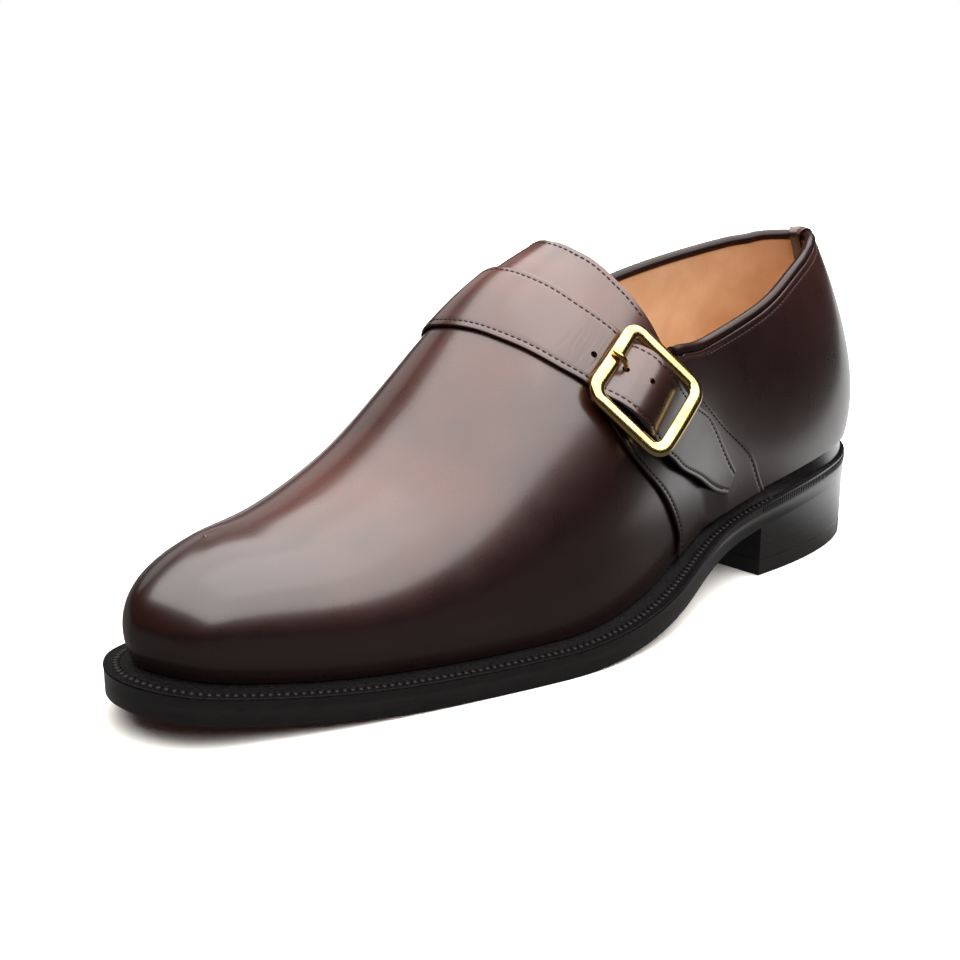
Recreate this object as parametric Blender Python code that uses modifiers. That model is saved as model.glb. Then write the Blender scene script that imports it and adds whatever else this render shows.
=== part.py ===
"""Left monk strap shoe: welted leather sole, stacked heel, one hollow upper, strap and buckle.

Metres, +Z up. The toe points to -Y and the buckle side of the foot to +X.
The origin is on the floor at the middle of the heel's flat face.
"""

import math

import bmesh
import bpy
import numpy as np
from mathutils import Vector

MM = 0.001

# Driving sizes, in millimetres
SOLE_LENGTH = 302.0
HEEL_MIDDLE = 42.0          # from the back of the sole to the origin
OUTSOLE_THICK = 5.0
EDGE_FOREPART = 7.9         # outsole and welt together
EDGE_HEEL = 8.6
BREAST_SHARE = 0.272        # where the heel ends, as a share of the length
LIFT_JOINTS = (5.7, 10.6, 15.3)
HEEL_INSET = 0.2
RUBBER_SHARE = 0.075
GAP = 0.3
UNDER = 0.45                # overlaid leather stands off the leather below it
WALL = 1.6                  # lining and vamp
PIECE = 1.1                 # quarter, panel and strap leather
INSOLE_THICK = 3.0
INSOLE_CLEAR = 0.6          # from the lining in to the insole's edge
SOCK_THICK = 0.9
SOCK_CLEAR = 2.6
SOCK_END = 3.4              # station where the heel sock ends
WELT_UNDER_UPPER = 3.1
FILLER_CLEAR = 0.4          # from the welt in to the filler
FILLER_BELOW = 0.48         # from the insole down to the filler
BUCKLE_LENGTH = 32.6        # along the strap
BUCKLE_WIDTH = 33.0
BUCKLE_BAR = 4.2            # width of the flat, bevelled bars
BUCKLE_THICK = 2.5
BUCKLE_RIM = 0.3            # half height of the bars at their bevelled edges
BUCKLE_CORNER = 4.6
BUCKLE_BOW = 260.0          # the frame is bowed over the foot by across * across / bow
CENTRE_BAR_RADIUS = 1.15
CENTRE_BAR_BELOW = 1.2      # below the middle of the frame
PRONG_THICK = 0.8           # half thickness
BACK_TAB_WIDTH = 6.5
TAB_OUTSIDE = 1.95          # clear of the quarters' leather
TAB_FOLD = 2.2              # inner radius over the binding
TAB_THICK = 0.8
TAB_STATION = 16.5          # millimetres of the heel's back curve to one station
BINDING_WIDE = 1.7          # half width of the rolled binding
BINDING_TALL = 1.5
BINDING_END = 4.64          # station where the tongue begins
TOP_LINE_CLEAR = 0.008      # share of the wall between a quarter's edge and the top line
QUARTER_REACH = 4.5         # stations up to which the quarters follow the top line
STRAP_REACH = 4.34
RAMP_END = 0.60             # the buckle panel comes off the quarter by this share across it
RAMP_RUN = 0.22

# One row for each station of the last, from the back of the heel to the toe tip.
# share: station as a share of the sole length; half: half width of the sole;
# margin: from the sole's edge in to the upper; lean: how far the wall swings out;
# low, top: the lengths of the wall's lower and upper handles
LATERAL = (
    # share, half, margin, lean, low, top
    (0.000, 0.0, 2.0, 10.0, 0.34, 0.55),
    (0.035, 20.2, 2.0, 10.0, 0.34, 0.40),
    (0.110, 32.4, 2.0, 4.2, 0.33, 0.28),
    (0.220, 37.0, 3.5, 3.4, 0.36, 0.33),
    (0.340, 38.2, 6.3, 5.2, 0.46, 0.50),
    (0.460, 49.8, 8.2, 5.0, 0.52, 0.56),
    (0.580, 54.2, 8.1, 5.0, 0.54, 0.56),
    (0.700, 47.0, 7.6, 5.0, 0.58, 0.56),
    (0.820, 37.0, 7.4, 5.0, 0.61, 0.59),
    (0.920, 25.6, 7.4, 5.7, 0.65, 0.60),
    (0.975, 15.4, 7.4, 6.4, 0.64, 0.60),
    (1.000, -3.5, 6.8, 6.8, 0.64, 0.60),
)
MEDIAL = (
    (0.000, 0.0, 2.0, 10.0, 0.34, 0.55),
    (0.035, 20.2, 2.0, 10.0, 0.34, 0.40),
    (0.110, 31.0, 2.0, 4.2, 0.33, 0.30),
    (0.220, 33.6, 2.8, 3.4, 0.36, 0.36),
    (0.340, 33.0, 4.2, 5.2, 0.46, 0.52),
    (0.460, 38.0, 5.4, 5.6, 0.52, 0.56),
    (0.580, 47.0, 6.8, 5.0, 0.54, 0.56),
    (0.700, 52.0, 7.4, 5.0, 0.58, 0.56),
    (0.820, 45.5, 7.4, 5.0, 0.61, 0.59),
    (0.920, 31.5, 7.4, 5.7, 0.65, 0.60),
    (0.975, 21.5, 7.4, 6.4, 0.64, 0.60),
    (1.000, 3.5, 6.8, 6.8, 0.64, 0.60),
)
# The line over the top of the last, at the same stations, and how high the
# upper starts above the edge of the sole
RIDGE = (
    # share, side, height, rise
    (0.167, 0.0, 133.2, 6.5),
    (0.187, 0.0, 133.0, 6.3),
    (0.203, 0.0, 135.0, 5.5),
    (0.242, 0.0, 136.0, 4.0),
    (0.340, 0.0, 134.0, 2.0),
    (0.460, -2.0, 119.0, 1.0),
    (0.580, -4.5, 101.0, 1.0),
    (0.700, -7.0, 67.0, 1.0),
    (0.802, -8.5, 50.8, 1.0),
    (0.863, -8.5, 47.9, 1.0),
    (0.888, -8.3, 46.5, 1.0),
    (0.895, -8.0, 46.1, 1.0),
)
# Underside of the outsole: share of the length, height
BOTTOM = (
    (0.00, 22.9),
    (0.21, 19.9),
    (0.30, 15.9),
    (0.42, 8.4),
    (0.54, 2.2),
    (0.62, 0.0),
    (0.70, 0.0),
    (0.76, 0.5),
    (0.87, 2.9),
    (1.00, 8.5),
)
# Top line and tongue edge: station, share up the lateral wall, up the medial wall
COLLAR = (
    (0.00, 0.566, 0.566),
    (0.50, 0.573, 0.574),
    (0.95, 0.579, 0.594),
    (1.50, 0.560, 0.589),
    (1.84, 0.538, 0.5735),
    (2.55, 0.487, 0.5415),
    (3.08, 0.442, 0.520),
    (3.50, 0.411, 0.497),
    (3.90, 0.392, 0.477),
    (4.33, 0.400, 0.469),
    (4.56, 0.420, 0.480),
    (4.76, 0.475, 0.515),
    (4.82, 0.525, 0.545),
    (4.88, 0.570, 0.580),
    (4.95, 0.625, 0.625),
    (5.03, 0.690, 0.690),
    (5.09, 0.755, 0.755),
    (5.15, 0.820, 0.820),
    (5.20, 0.890, 0.890),
    (5.24, 1.000, 1.000),
)
# Strap and medial quarter, one piece of leather, from the strap's tip over the
# instep and back along the inside of the foot. Each row crosses it from the
# upper edge to the lower edge; around: 0 lateral feather, 1 ridge, 2 medial
# feather; lift: how far its underside stands off the last
STRAP = (
    # station, around, station, around, lift
    (3.86, 0.105, 3.98, 0.062, 3.4),
    (3.98, 0.145, 4.25, 0.100, 3.4),
    (4.13, 0.200, 4.55, 0.155, 3.4),
    (4.29, 0.255, 4.85, 0.205, 3.4),
    (4.45, 0.287, 5.02, 0.243, 3.6),
    (4.65, 0.328, 5.21, 0.284, 4.3),
    (4.85, 0.378, 5.38, 0.334, 5.8),
    (4.99, 0.434, 5.51, 0.385, 6.2),
    (5.09, 0.484, 5.62, 0.434, 4.4),
    (5.20, 0.534, 5.73, 0.484, 0.8),
    (5.27, 0.570, 5.80, 0.519, 0.5),
    (5.39, 0.632, 5.93, 0.580, 0.4),
    (5.51, 0.705, 6.05, 0.658, 0.4),
    (5.60, 0.790, 6.15, 0.748, 0.4),
    (5.67, 0.880, 6.22, 0.848, 0.4),
    (5.71, 1.000, 6.27, 1.000, 0.4),
    (5.70, 1.120, 6.24, 1.140, 0.4),
    (5.62, 1.240, 6.14, 1.280, 0.4),
    (5.48, 1.350, 5.98, 1.420, 0.4),
    (5.25, 1.440, 5.75, 1.550, 0.4),
    (4.95, 1.505, 5.48, 1.660, 0.4),
    (4.65, 1.525, 5.20, 1.770, 0.4),
    (4.33, 1.540, 4.95, 1.870, 0.4),
    (3.90, 1.533, 4.76, 1.950, 0.4),
    (3.50, 1.511, 4.62, 1.992, 0.4),
    (3.08, 1.488, 4.00, 1.992, 0.4),
    (2.55, 1.460, 3.30, 1.992, 0.4),
    (1.84, 1.436, 2.40, 1.992, 0.4),
    (1.20, 1.430, 1.60, 1.992, 0.4),
    (0.60, 1.442, 0.80, 1.992, 0.4),
    (0.03, 1.451, 0.03, 1.992, 0.4),
)
# Lateral quarter, from the back seam forward: upper edge, lower edge
QUARTER = (
    (0.03, 0.549, 0.03, 0.006),
    (0.50, 0.555, 0.45, 0.006),
    (0.95, 0.567, 0.90, 0.006),
    (1.50, 0.555, 1.40, 0.006),
    (1.84, 0.532, 1.75, 0.006),
    (2.55, 0.482, 2.30, 0.006),
    (3.08, 0.432, 2.75, 0.006),
    (3.50, 0.402, 3.10, 0.006),
    (3.90, 0.382, 3.42, 0.006),
    (4.33, 0.392, 3.56, 0.006),
    (4.56, 0.410, 3.66, 0.006),
    (4.88, 0.438, 3.74, 0.006),
)
# Panel that carries the buckle: rear edge, front edge, from the sole up
PANEL = (
    (3.37, 0.010, 4.69, 0.010),
    (3.44, 0.045, 4.71, 0.050),
    (3.50, 0.080, 4.80, 0.090),
    (3.62, 0.130, 4.94, 0.140),
    (3.89, 0.190, 5.12, 0.195),
    (4.19, 0.260, 5.32, 0.250),
    (4.48, 0.340, 5.52, 0.320),
    (4.76, 0.425, 5.66, 0.400),
    (4.92, 0.490, 5.70, 0.450),
)
# Middle of the buckle, a point farther down the strap and a point across it:
# side, share of the sole length, height
BUCKLE_MIDDLE = (41.95, 0.49470, 76.05)
BUCKLE_DOWN = (47.65, 0.47297, 67.77)
BUCKLE_ACROSS = (39.80, 0.46183, 82.44)
# The prong in the buckle's own frame: along, outward, half width
PRONG = (
    (-6.0, 2.0, 1.0),
    (-8.5, 2.2, 1.2),
    (-11.5, 2.4, 1.2),
    (-13.6, 2.4, 1.0),
    (-14.8, 2.3, 0.6),
)


def spline(knots, values, at, flat=False):
    """Cubic spline through the knots, with free or flat ends."""
    k = np.asarray(knots, float)
    v = np.asarray(values, float)
    n = len(k)
    h = np.diff(k)
    m = np.zeros((n, n))
    r = np.zeros(n)
    m[0, 0] = m[-1, -1] = 1.0
    if flat:
        m[0, :2] = (2.0 * h[0], h[0])
        m[-1, -2:] = (h[-1], 2.0 * h[-1])
        r[0] = 6.0 * (v[1] - v[0]) / h[0]
        r[-1] = -6.0 * (v[-1] - v[-2]) / h[-1]
    for i in range(1, n - 1):
        m[i, i - 1:i + 2] = (h[i - 1], 2.0 * (h[i - 1] + h[i]), h[i])
        r[i] = 6.0 * ((v[i + 1] - v[i]) / h[i] - (v[i] - v[i - 1]) / h[i - 1])
    bend = np.linalg.solve(m, r)
    x = np.asarray(at, float)
    i = np.clip(np.searchsorted(k, x) - 1, 0, n - 2)
    a = (k[i + 1] - x) / h[i]
    b = (x - k[i]) / h[i]
    curve = ((a ** 3 - a) * bend[i] + (b ** 3 - b) * bend[i + 1]) * h[i] ** 2 / 6.0
    return a * v[i] + b * v[i + 1] + curve


def column(table, number):
    return np.array([row[number] for row in table], float)


STATIONS = np.arange(len(LATERAL), dtype=float)
TOE = STATIONS[-1]


def along(table, number, t, flat=False):
    return spline(STATIONS, column(table, number), t, flat)


def share_at(t):
    return along(LATERAL, 0, t, flat=True)


def station_at(share):
    """Station at a share of the length."""
    t = np.linspace(0.0, TOE, 600)
    return float(np.interp(share, share_at(t), t))


def bottom(t):
    """Height of the outsole's underside, flat where it rests on the floor."""
    z = spline(column(BOTTOM, 0), column(BOTTOM, 1), share_at(t))
    return np.maximum(z, 0.0)


def edge_top(t):
    heel = np.clip((0.30 - share_at(t)) / 0.15, 0.0, 1.0)
    return bottom(t) + EDGE_FOREPART + (EDGE_HEEL - EDGE_FOREPART) * heel


def feather_height(t):
    return edge_top(t) + along(RIDGE, 3, t)


def sole_edge(t, side, inset=0.0):
    """Point of the sole's outline and its outward direction, in plan."""
    table = LATERAL if side > 0 else MEDIAL
    step = 1e-3

    def plan(s):
        return side * along(table, 1, s), HEEL_MIDDLE - SOLE_LENGTH * share_at(s)

    x, y = plan(t)
    x1, y1 = plan(np.minimum(t + step, TOE))
    x0, y0 = plan(np.maximum(t - step, 0.0))
    dx, dy = x1 - x0, y1 - y0
    size = np.hypot(dx, dy)
    nx, ny = -side * dy / size, side * dx / size
    tip = (np.asarray(t) <= 0.0) | (np.asarray(t) >= TOE)
    nx = np.where(tip, 0.0, nx)
    ny = np.where(tip, np.where(np.asarray(t) <= 0.0, 1.0, -1.0), ny)
    return x - nx * inset, y - ny * inset, nx, ny


def wall(t, w, side):
    """Bezier rib of the last from the feather line (w 0) to the ridge (w 1)."""
    table = LATERAL if side > 0 else MEDIAL
    fx, fy, nx, ny = sole_edge(t, side, along(table, 2, t))
    fz = feather_height(t)
    rx = along(RIDGE, 1, t)
    ry = HEEL_MIDDLE - SOLE_LENGTH * along(RIDGE, 0, t, flat=True)
    rz = along(RIDGE, 2, t)
    ahead = column(RIDGE, 0)
    place = np.clip(along(RIDGE, 0, t, flat=True), ahead[0], ahead[-1])
    step = 1e-3
    rise = spline(ahead, column(RIDGE, 2), place + step) - spline(ahead, column(RIDGE, 2), place - step)
    slope = -rise / (2.0 * step * SOLE_LENGTH)
    lean, low, top = (along(table, k, t) for k in (3, 4, 5))
    width = np.hypot(fx - rx, fy - ry)
    ux, uy = (fx - rx) / width, (fy - ry) / width
    p0 = np.stack([fx, fy, fz], -1)
    p3 = np.stack([rx, ry, rz], -1)
    p1 = p0 + np.stack([nx * lean, ny * lean, low * (rz - fz)], -1)
    p2 = p3 + (top * width)[..., None] * np.stack([ux, uy, uy * slope], -1)
    w = np.asarray(w)[..., None]
    return ((1 - w) ** 3 * p0 + 3 * (1 - w) ** 2 * w * p1
            + 3 * (1 - w) * w ** 2 * p2 + w ** 3 * p3)


def last(t, around):
    """Point of the last; around runs 0 lateral feather, 1 ridge, 2 medial feather."""
    t, c = np.broadcast_arrays(np.asarray(t, float), np.asarray(around, float))
    lateral = wall(t, np.minimum(c, 1.0), 1)
    medial = wall(t, np.minimum(2.0 - c, 1.0), -1)
    return np.where((c <= 1.0)[..., None], lateral, medial)


def outward(t, around):
    """Unit normal of the last."""
    t, c = np.broadcast_arrays(np.asarray(t, float), np.asarray(around, float))
    step = 2e-3
    t = np.clip(t, step, TOE - step)
    c = np.clip(c, step, 2.0 - step)
    forward = last(t + step, c) - last(t - step, c)
    up = last(t, c + step) - last(t, c - step)
    normal = np.cross(up, forward)
    return normal / np.maximum(np.linalg.norm(normal, axis=-1, keepdims=True), 1e-12)


def raised(t, around, lift):
    return last(t, around) + outward(t, around) * np.asarray(lift)[..., None]


def collar(t, side):
    """Share up the wall where the leather ends, at the top line or the tongue's edge."""
    t = np.minimum(t, COLLAR[-1][0])
    return spline(column(COLLAR, 0), column(COLLAR, 1 if side > 0 else 2), t)


def clear_scene():
    for obj in list(bpy.data.objects):
        bpy.data.objects.remove(obj, do_unlink=True)


def new_collection(name):
    made = bpy.data.collections.new(name)
    bpy.context.scene.collection.children.link(made)
    return made


def material(name, colour, roughness, metallic=0.0):
    made = bpy.data.materials.new(name)
    made.use_nodes = True
    shader = made.node_tree.nodes["Principled BSDF"]
    shader.inputs["Base Color"].default_value = (*colour, 1.0)
    shader.inputs["Roughness"].default_value = roughness
    shader.inputs["Metallic"].default_value = metallic
    return made


def add_object(name, bm, collection, look):
    bmesh.ops.remove_doubles(bm, verts=bm.verts, dist=2e-6)
    bmesh.ops.dissolve_degenerate(bm, edges=bm.edges, dist=1e-6)
    mesh = bpy.data.meshes.new(name)
    bm.to_mesh(mesh)
    bm.free()
    obj = bpy.data.objects.new(name, mesh)
    obj.data.materials.append(material(name + " look", *look))
    collection.objects.link(obj)
    mesh.shade_smooth()
    mesh.set_sharp_from_angle(angle=math.radians(40))
    return obj


def add_points(bm, grid):
    return [[bm.verts.new(Vector(p) * MM) for p in row] for row in grid]


def add_strips(bm, rows, flip=False):
    for a, b in zip(rows, rows[1:]):
        for k in range(len(a) - 1):
            corners = (a[k], a[k + 1], b[k + 1], b[k])
            bm.faces.new(corners[::-1] if flip else corners)


def block(name, high, low, collection, look):
    """Closed solid between two grids of points of the same shape."""
    bm = bmesh.new()
    top = add_points(bm, high)
    under = add_points(bm, low)
    add_strips(bm, top)
    add_strips(bm, under, flip=True)
    last_row = [row[-1] for row in top], [row[-1] for row in under]
    first_row = [row[0] for row in top], [row[0] for row in under]
    add_strips(bm, [under[0], top[0]])
    add_strips(bm, [top[-1], under[-1]])
    add_strips(bm, [first_row[0], first_row[1]])
    add_strips(bm, [last_row[1], last_row[0]])
    bmesh.ops.remove_doubles(bm, verts=bm.verts, dist=2e-6)
    bmesh.ops.recalc_face_normals(bm, faces=bm.faces)
    return add_object(name, bm, collection, look)


def sweep(name, sections, collection, look, closed=True):
    """Solid through a row of closed sections, joined end to end or capped."""
    bm = bmesh.new()
    rows = [row + [row[0]] for row in add_points(bm, sections)]
    add_strips(bm, rows + rows[:1] if closed else rows)
    if not closed:
        bm.faces.new(rows[0][:-1])
        bm.faces.new(rows[-1][:-1][::-1])
    bmesh.ops.recalc_face_normals(bm, faces=bm.faces)
    return add_object(name, bm, collection, look)


def leather(name, grids, thickness, collection, look, inward=False):
    """Open sheet of leather given a wall by Solidify."""
    bm = bmesh.new()
    for grid in grids:
        add_strips(bm, add_points(bm, grid))
    bmesh.ops.remove_doubles(bm, verts=bm.verts, dist=2e-6)
    bmesh.ops.recalc_face_normals(bm, faces=bm.faces)
    middle = Vector((0.0, -0.1, 0.06))
    outside = sum((f.calc_center_median() - middle).dot(f.normal) * f.calc_area() for f in bm.faces)
    if outside < 0.0:
        bmesh.ops.reverse_faces(bm, faces=bm.faces)
    obj = add_object(name, bm, collection, look)
    wall_mod = obj.modifiers.new("Leather", "SOLIDIFY")
    wall_mod.thickness = thickness * MM
    wall_mod.offset = -1.0 if inward else 1.0
    wall_mod.use_even_offset = False
    return obj


def plate_rows(t, across, inset, height):
    """Grid over the sole's plan: a row across it for each station."""
    rows = []
    for s in t:
        xl, yl, _, _ = sole_edge(s, 1, inset(s, 1))
        xm, ym, _, _ = sole_edge(s, -1, inset(s, -1))
        z = float(height(s))
        share = np.linspace(0.0, 1.0, across + 1)
        rows.append([(xm + (xl - xm) * k, ym + (yl - ym) * k, z) for k in share])
    return rows


def plate(name, stations, across, inset, low, high, collection, look):
    return block(name, plate_rows(stations, across, inset, high),
                 plate_rows(stations, across, inset, low), collection, look)


def margin_at(t, side):
    return float(along(LATERAL if side > 0 else MEDIAL, 2, t))


def make_sole(collection):
    sole_t = np.concatenate([np.linspace(0.0, 3.0, 13), np.linspace(3.3, 8.7, 15), np.linspace(9.0, TOE, 11)])
    black = ((0.012, 0.010, 0.010), 0.35)
    plate("outsole", sole_t, 2, lambda t, s: 0.0, bottom,
          lambda t: bottom(t) + OUTSOLE_THICK, collection, ((0.22, 0.075, 0.03), 0.55))

    sections = []
    ring = [(t, 1) for t in sole_t[:-1]] + [(t, -1) for t in sole_t[:0:-1]]
    for t, side in ring:
        low = float(bottom(t)) + OUTSOLE_THICK + GAP
        top = float(edge_top(t))
        seat = float(feather_height(t)) - GAP
        m = margin_at(t, side)
        profile = ((0.3, low), (0.0, low + 0.4), (0.0, top - 0.8), (0.8, top), (m, seat),
                   (m + WELT_UNDER_UPPER, seat), (m + WELT_UNDER_UPPER, low))
        points = [sole_edge(t, side, inset)[:2] for inset, _ in profile]
        sections.append([(x, y, z) for (x, y), (_, z) in zip(points, profile)])
    sweep("welt", sections, collection, black)

    plate("filler", sole_t, 1, lambda t, s: margin_at(t, s) + WELT_UNDER_UPPER + FILLER_CLEAR,
          lambda t: bottom(t) + OUTSOLE_THICK + GAP, lambda t: feather_height(t) - FILLER_BELOW,
          collection, ((0.35, 0.2, 0.1), 0.9))
    plate("insole", sole_t, 2, lambda t, s: margin_at(t, s) + WALL + INSOLE_CLEAR, feather_height,
          lambda t: feather_height(t) + INSOLE_THICK, collection, ((0.5, 0.3, 0.16), 0.7))
    plate("heel_sock", np.linspace(0.0, SOCK_END, 14), 2, lambda t, s: margin_at(t, s) + WALL + SOCK_CLEAR,
          lambda t: feather_height(t) + INSOLE_THICK + GAP,
          lambda t: feather_height(t) + INSOLE_THICK + GAP + SOCK_THICK,
          collection, ((0.42, 0.22, 0.1), 0.55))


def make_heel(collection):
    black = ((0.012, 0.010, 0.010), 0.32)
    breast = station_at(BREAST_SHARE)
    split = station_at(RUBBER_SHARE)
    whole = np.concatenate([np.linspace(0.0, 2.0, 9), np.linspace(2.35, breast, 4)])
    rear = np.linspace(0.0, split, 7)
    seam = station_at(RUBBER_SHARE + GAP / SOLE_LENGTH)
    front = np.concatenate([[seam], np.linspace(split + 0.35, breast, 7)])

    def inset(t, side):
        return HEEL_INSET

    def top_lift_roof(t):
        return bottom(t) - GAP

    plate("heel_rubber_tip", rear, 2, inset, lambda t: 0.0, lambda t: LIFT_JOINTS[0], collection,
          ((0.02, 0.02, 0.02), 0.8))
    plate("heel_top_piece", front, 2, inset, lambda t: 0.0, lambda t: LIFT_JOINTS[0], collection, black)
    tops = LIFT_JOINTS[1:] + (None,)
    for number, (low, high) in enumerate(zip(LIFT_JOINTS, tops), 1):
        roof = top_lift_roof if high is None else (lambda t, z=high: z)
        plate("heel_lift_%d" % number, whole, 2, inset, lambda t, z=low + GAP: z, roof, collection, black)


def upper_stations():
    return np.concatenate([np.linspace(0.0, 4.5, 13), (4.66, 4.78, 4.86, 4.94, 5.02, 5.09, 5.16, 5.24),
                           np.linspace(5.6, 8.8, 9), np.linspace(9.2, TOE, 8)])


def make_upper(collection):
    rows = 13
    lateral, medial = [], []
    for t in upper_stations():
        for side, grid in ((1, lateral), (-1, medial)):
            w = np.linspace(0.0, 1.0, rows + 1) * float(collar(t, side))
            around = w if side > 0 else 2.0 - w
            grid.append(last(np.full(rows + 1, t), around))
    leather("upper", (lateral, medial), WALL, collection, ((0.05, 0.018, 0.016), 0.3), inward=True)


def finer(table, parts):
    """The table's rows with more rows set smoothly between them."""
    rows = np.array(table, float)
    knots = np.arange(len(rows))
    at = np.linspace(0.0, len(rows) - 1, (len(rows) - 1) * parts + 1)
    return np.stack([spline(knots, rows[:, k], at) for k in range(rows.shape[1])], -1)


def ruled(rows, across, lift):
    """Grid of points on the last between each row's two edge points."""
    k = np.linspace(0.0, 1.0, across + 1)
    t = rows[:, 0:1] + (rows[:, 2:3] - rows[:, 0:1]) * k
    c = rows[:, 1:2] + (rows[:, 3:4] - rows[:, 1:2]) * k
    return raised(t, c, lift(rows, k))


def follow_collar(rows, side, reach):
    """Puts each row's upper edge just under the top line on one side, up to a station."""
    share = collar(rows[:, 0], side) - TOP_LINE_CLEAR
    free = rows[:, 1]
    there = (rows[:, 0] <= reach) & ((free < 1.0) == (side > 0))
    rows[:, 1] = np.where(there, share if side > 0 else 2.0 - share, free)
    return rows


def panel_lift(k):
    """Height of the panel's underside: on the quarter at its rear, on the vamp at its front."""
    return UNDER + (UNDER + PIECE) * np.clip((RAMP_END - k) / RAMP_RUN, 0.0, 1.0)


def make_quarters(collection):
    look = ((0.05, 0.018, 0.016), 0.3)
    rows = follow_collar(finer(QUARTER, 2), 1, QUARTER_REACH)
    grid = ruled(rows, 12, lambda r, k: np.full((len(r), len(k)), UNDER))
    leather("lateral_quarter", (grid,), PIECE, collection, look)

    rows = finer(PANEL, 2)
    grid = ruled(rows, 10, lambda r, k: np.tile(panel_lift(k), (len(r), 1)))
    leather("buckle_panel", (grid,), PIECE, collection, look)

    rows = follow_collar(finer(STRAP, 2), -1, STRAP_REACH)
    grid = ruled(rows, 8, lambda r, k: np.tile(np.maximum(r[:, 4:5], UNDER), (1, len(k))))
    leather("strap_and_medial_quarter", (grid,), PIECE, collection, look)


def make_binding(collection):
    """Rolled edge along the top line, from one side of the tongue to the other."""
    path = [(t, 1) for t in np.linspace(BINDING_END, 0.0, 24)]
    path += [(t, -1) for t in np.linspace(0.2, BINDING_END, 23)]
    sections = []
    for t, side in path:
        w = float(collar(t, side))
        around = w if side > 0 else 2.0 - w
        base = last(t, around)
        normal = outward(t, around)
        up = last(t, around + 0.01 * side) - last(t, around - 0.01 * side)
        up = up / np.linalg.norm(up)
        section = []
        for angle in np.linspace(0.0, math.pi, 7):
            wide = BINDING_WIDE * math.cos(angle) - 0.1
            tall = BINDING_TALL * math.sin(angle) + UNDER + 0.1
            section.append(base + normal * wide + up * tall)
        sections.append(section)
    sweep("collar_binding", sections, collection, ((0.05, 0.018, 0.016), 0.35), closed=False)


def tab_column(t, side):
    """Path of the back tab beside the back seam: places and outward directions."""
    top = float(collar(0.0, 1))

    def at(below):
        around = top - below if side > 0 else 2.0 - top + below
        return last(t, around), outward(t, around)

    crown, normal = at(0.0)
    up = crown - at(0.01)[0]
    up = up / np.linalg.norm(up)
    path, out = [], []
    for below in (0.17, 0.12, 0.07, 0.02):
        place, away = at(below)
        path.append(place + away * TAB_OUTSIDE)
        out.append(away)
    for angle in np.radians((20.0, 55.0, 90.0, 125.0, 160.0)):
        away = normal * math.cos(angle) + up * math.sin(angle)
        path.append(crown + normal * -0.1 + up * UNDER + away * TAB_FOLD)
        out.append(away)
    for below in (0.03, 0.07, 0.11):
        place, away = at(below)
        path.append(place - away * (WALL + 0.8))
        out.append(-away)
    return path, out


def make_back_tab(collection):
    """Narrow strip over the back seam, folded over the top line to the inside."""
    station = BACK_TAB_WIDTH / 2.0 / TAB_STATION
    columns = [tab_column(abs(k) * station, 1 if k > 0 else -1) for k in (-1.0, -0.5, 0.0, 0.5, 1.0)]
    rows = range(len(columns[0][0]))
    low = [[path[r] for path, _ in columns] for r in rows]
    high = [[path[r] + out[r] * TAB_THICK for path, out in columns] for r in rows]
    block("back_tab", high, low, collection, ((0.05, 0.018, 0.016), 0.35))


def buckle_axes():
    """Middle of the buckle and its directions: down the strap, across it, outward."""
    places = [np.array((side, HEEL_MIDDLE - SOLE_LENGTH * share, height))
              for side, share, height in (BUCKLE_MIDDLE, BUCKLE_DOWN, BUCKLE_ACROSS)]
    down = places[1] - places[0]
    down = down / np.linalg.norm(down)
    out = np.cross(down, places[2] - places[0])
    out = out / np.linalg.norm(out)
    return places[0], down, np.cross(out, down), out


def tube(name, points, radius, collection):
    """Round bar along points, as a mesh with welded caps."""
    curve = bpy.data.curves.new(name, "CURVE")
    curve.dimensions = "3D"
    curve.bevel_depth = radius * MM
    curve.bevel_resolution = 2
    curve.use_fill_caps = True
    line = curve.splines.new("POLY")
    line.points.add(len(points) - 1)
    for point, place in zip(line.points, points):
        point.co = (*(Vector(place) * MM), 1.0)
    shape = bpy.data.objects.new(name + " path", curve)
    collection.objects.link(shape)
    bpy.context.view_layer.update()
    mesh = bpy.data.meshes.new_from_object(shape.evaluated_get(bpy.context.evaluated_depsgraph_get()))
    bpy.data.objects.remove(shape, do_unlink=True)
    bm = bmesh.new()
    bm.from_mesh(mesh)
    bpy.data.meshes.remove(mesh)
    bmesh.ops.remove_doubles(bm, verts=bm.verts, dist=1e-6)
    bmesh.ops.recalc_face_normals(bm, faces=bm.faces)
    return bm


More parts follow.
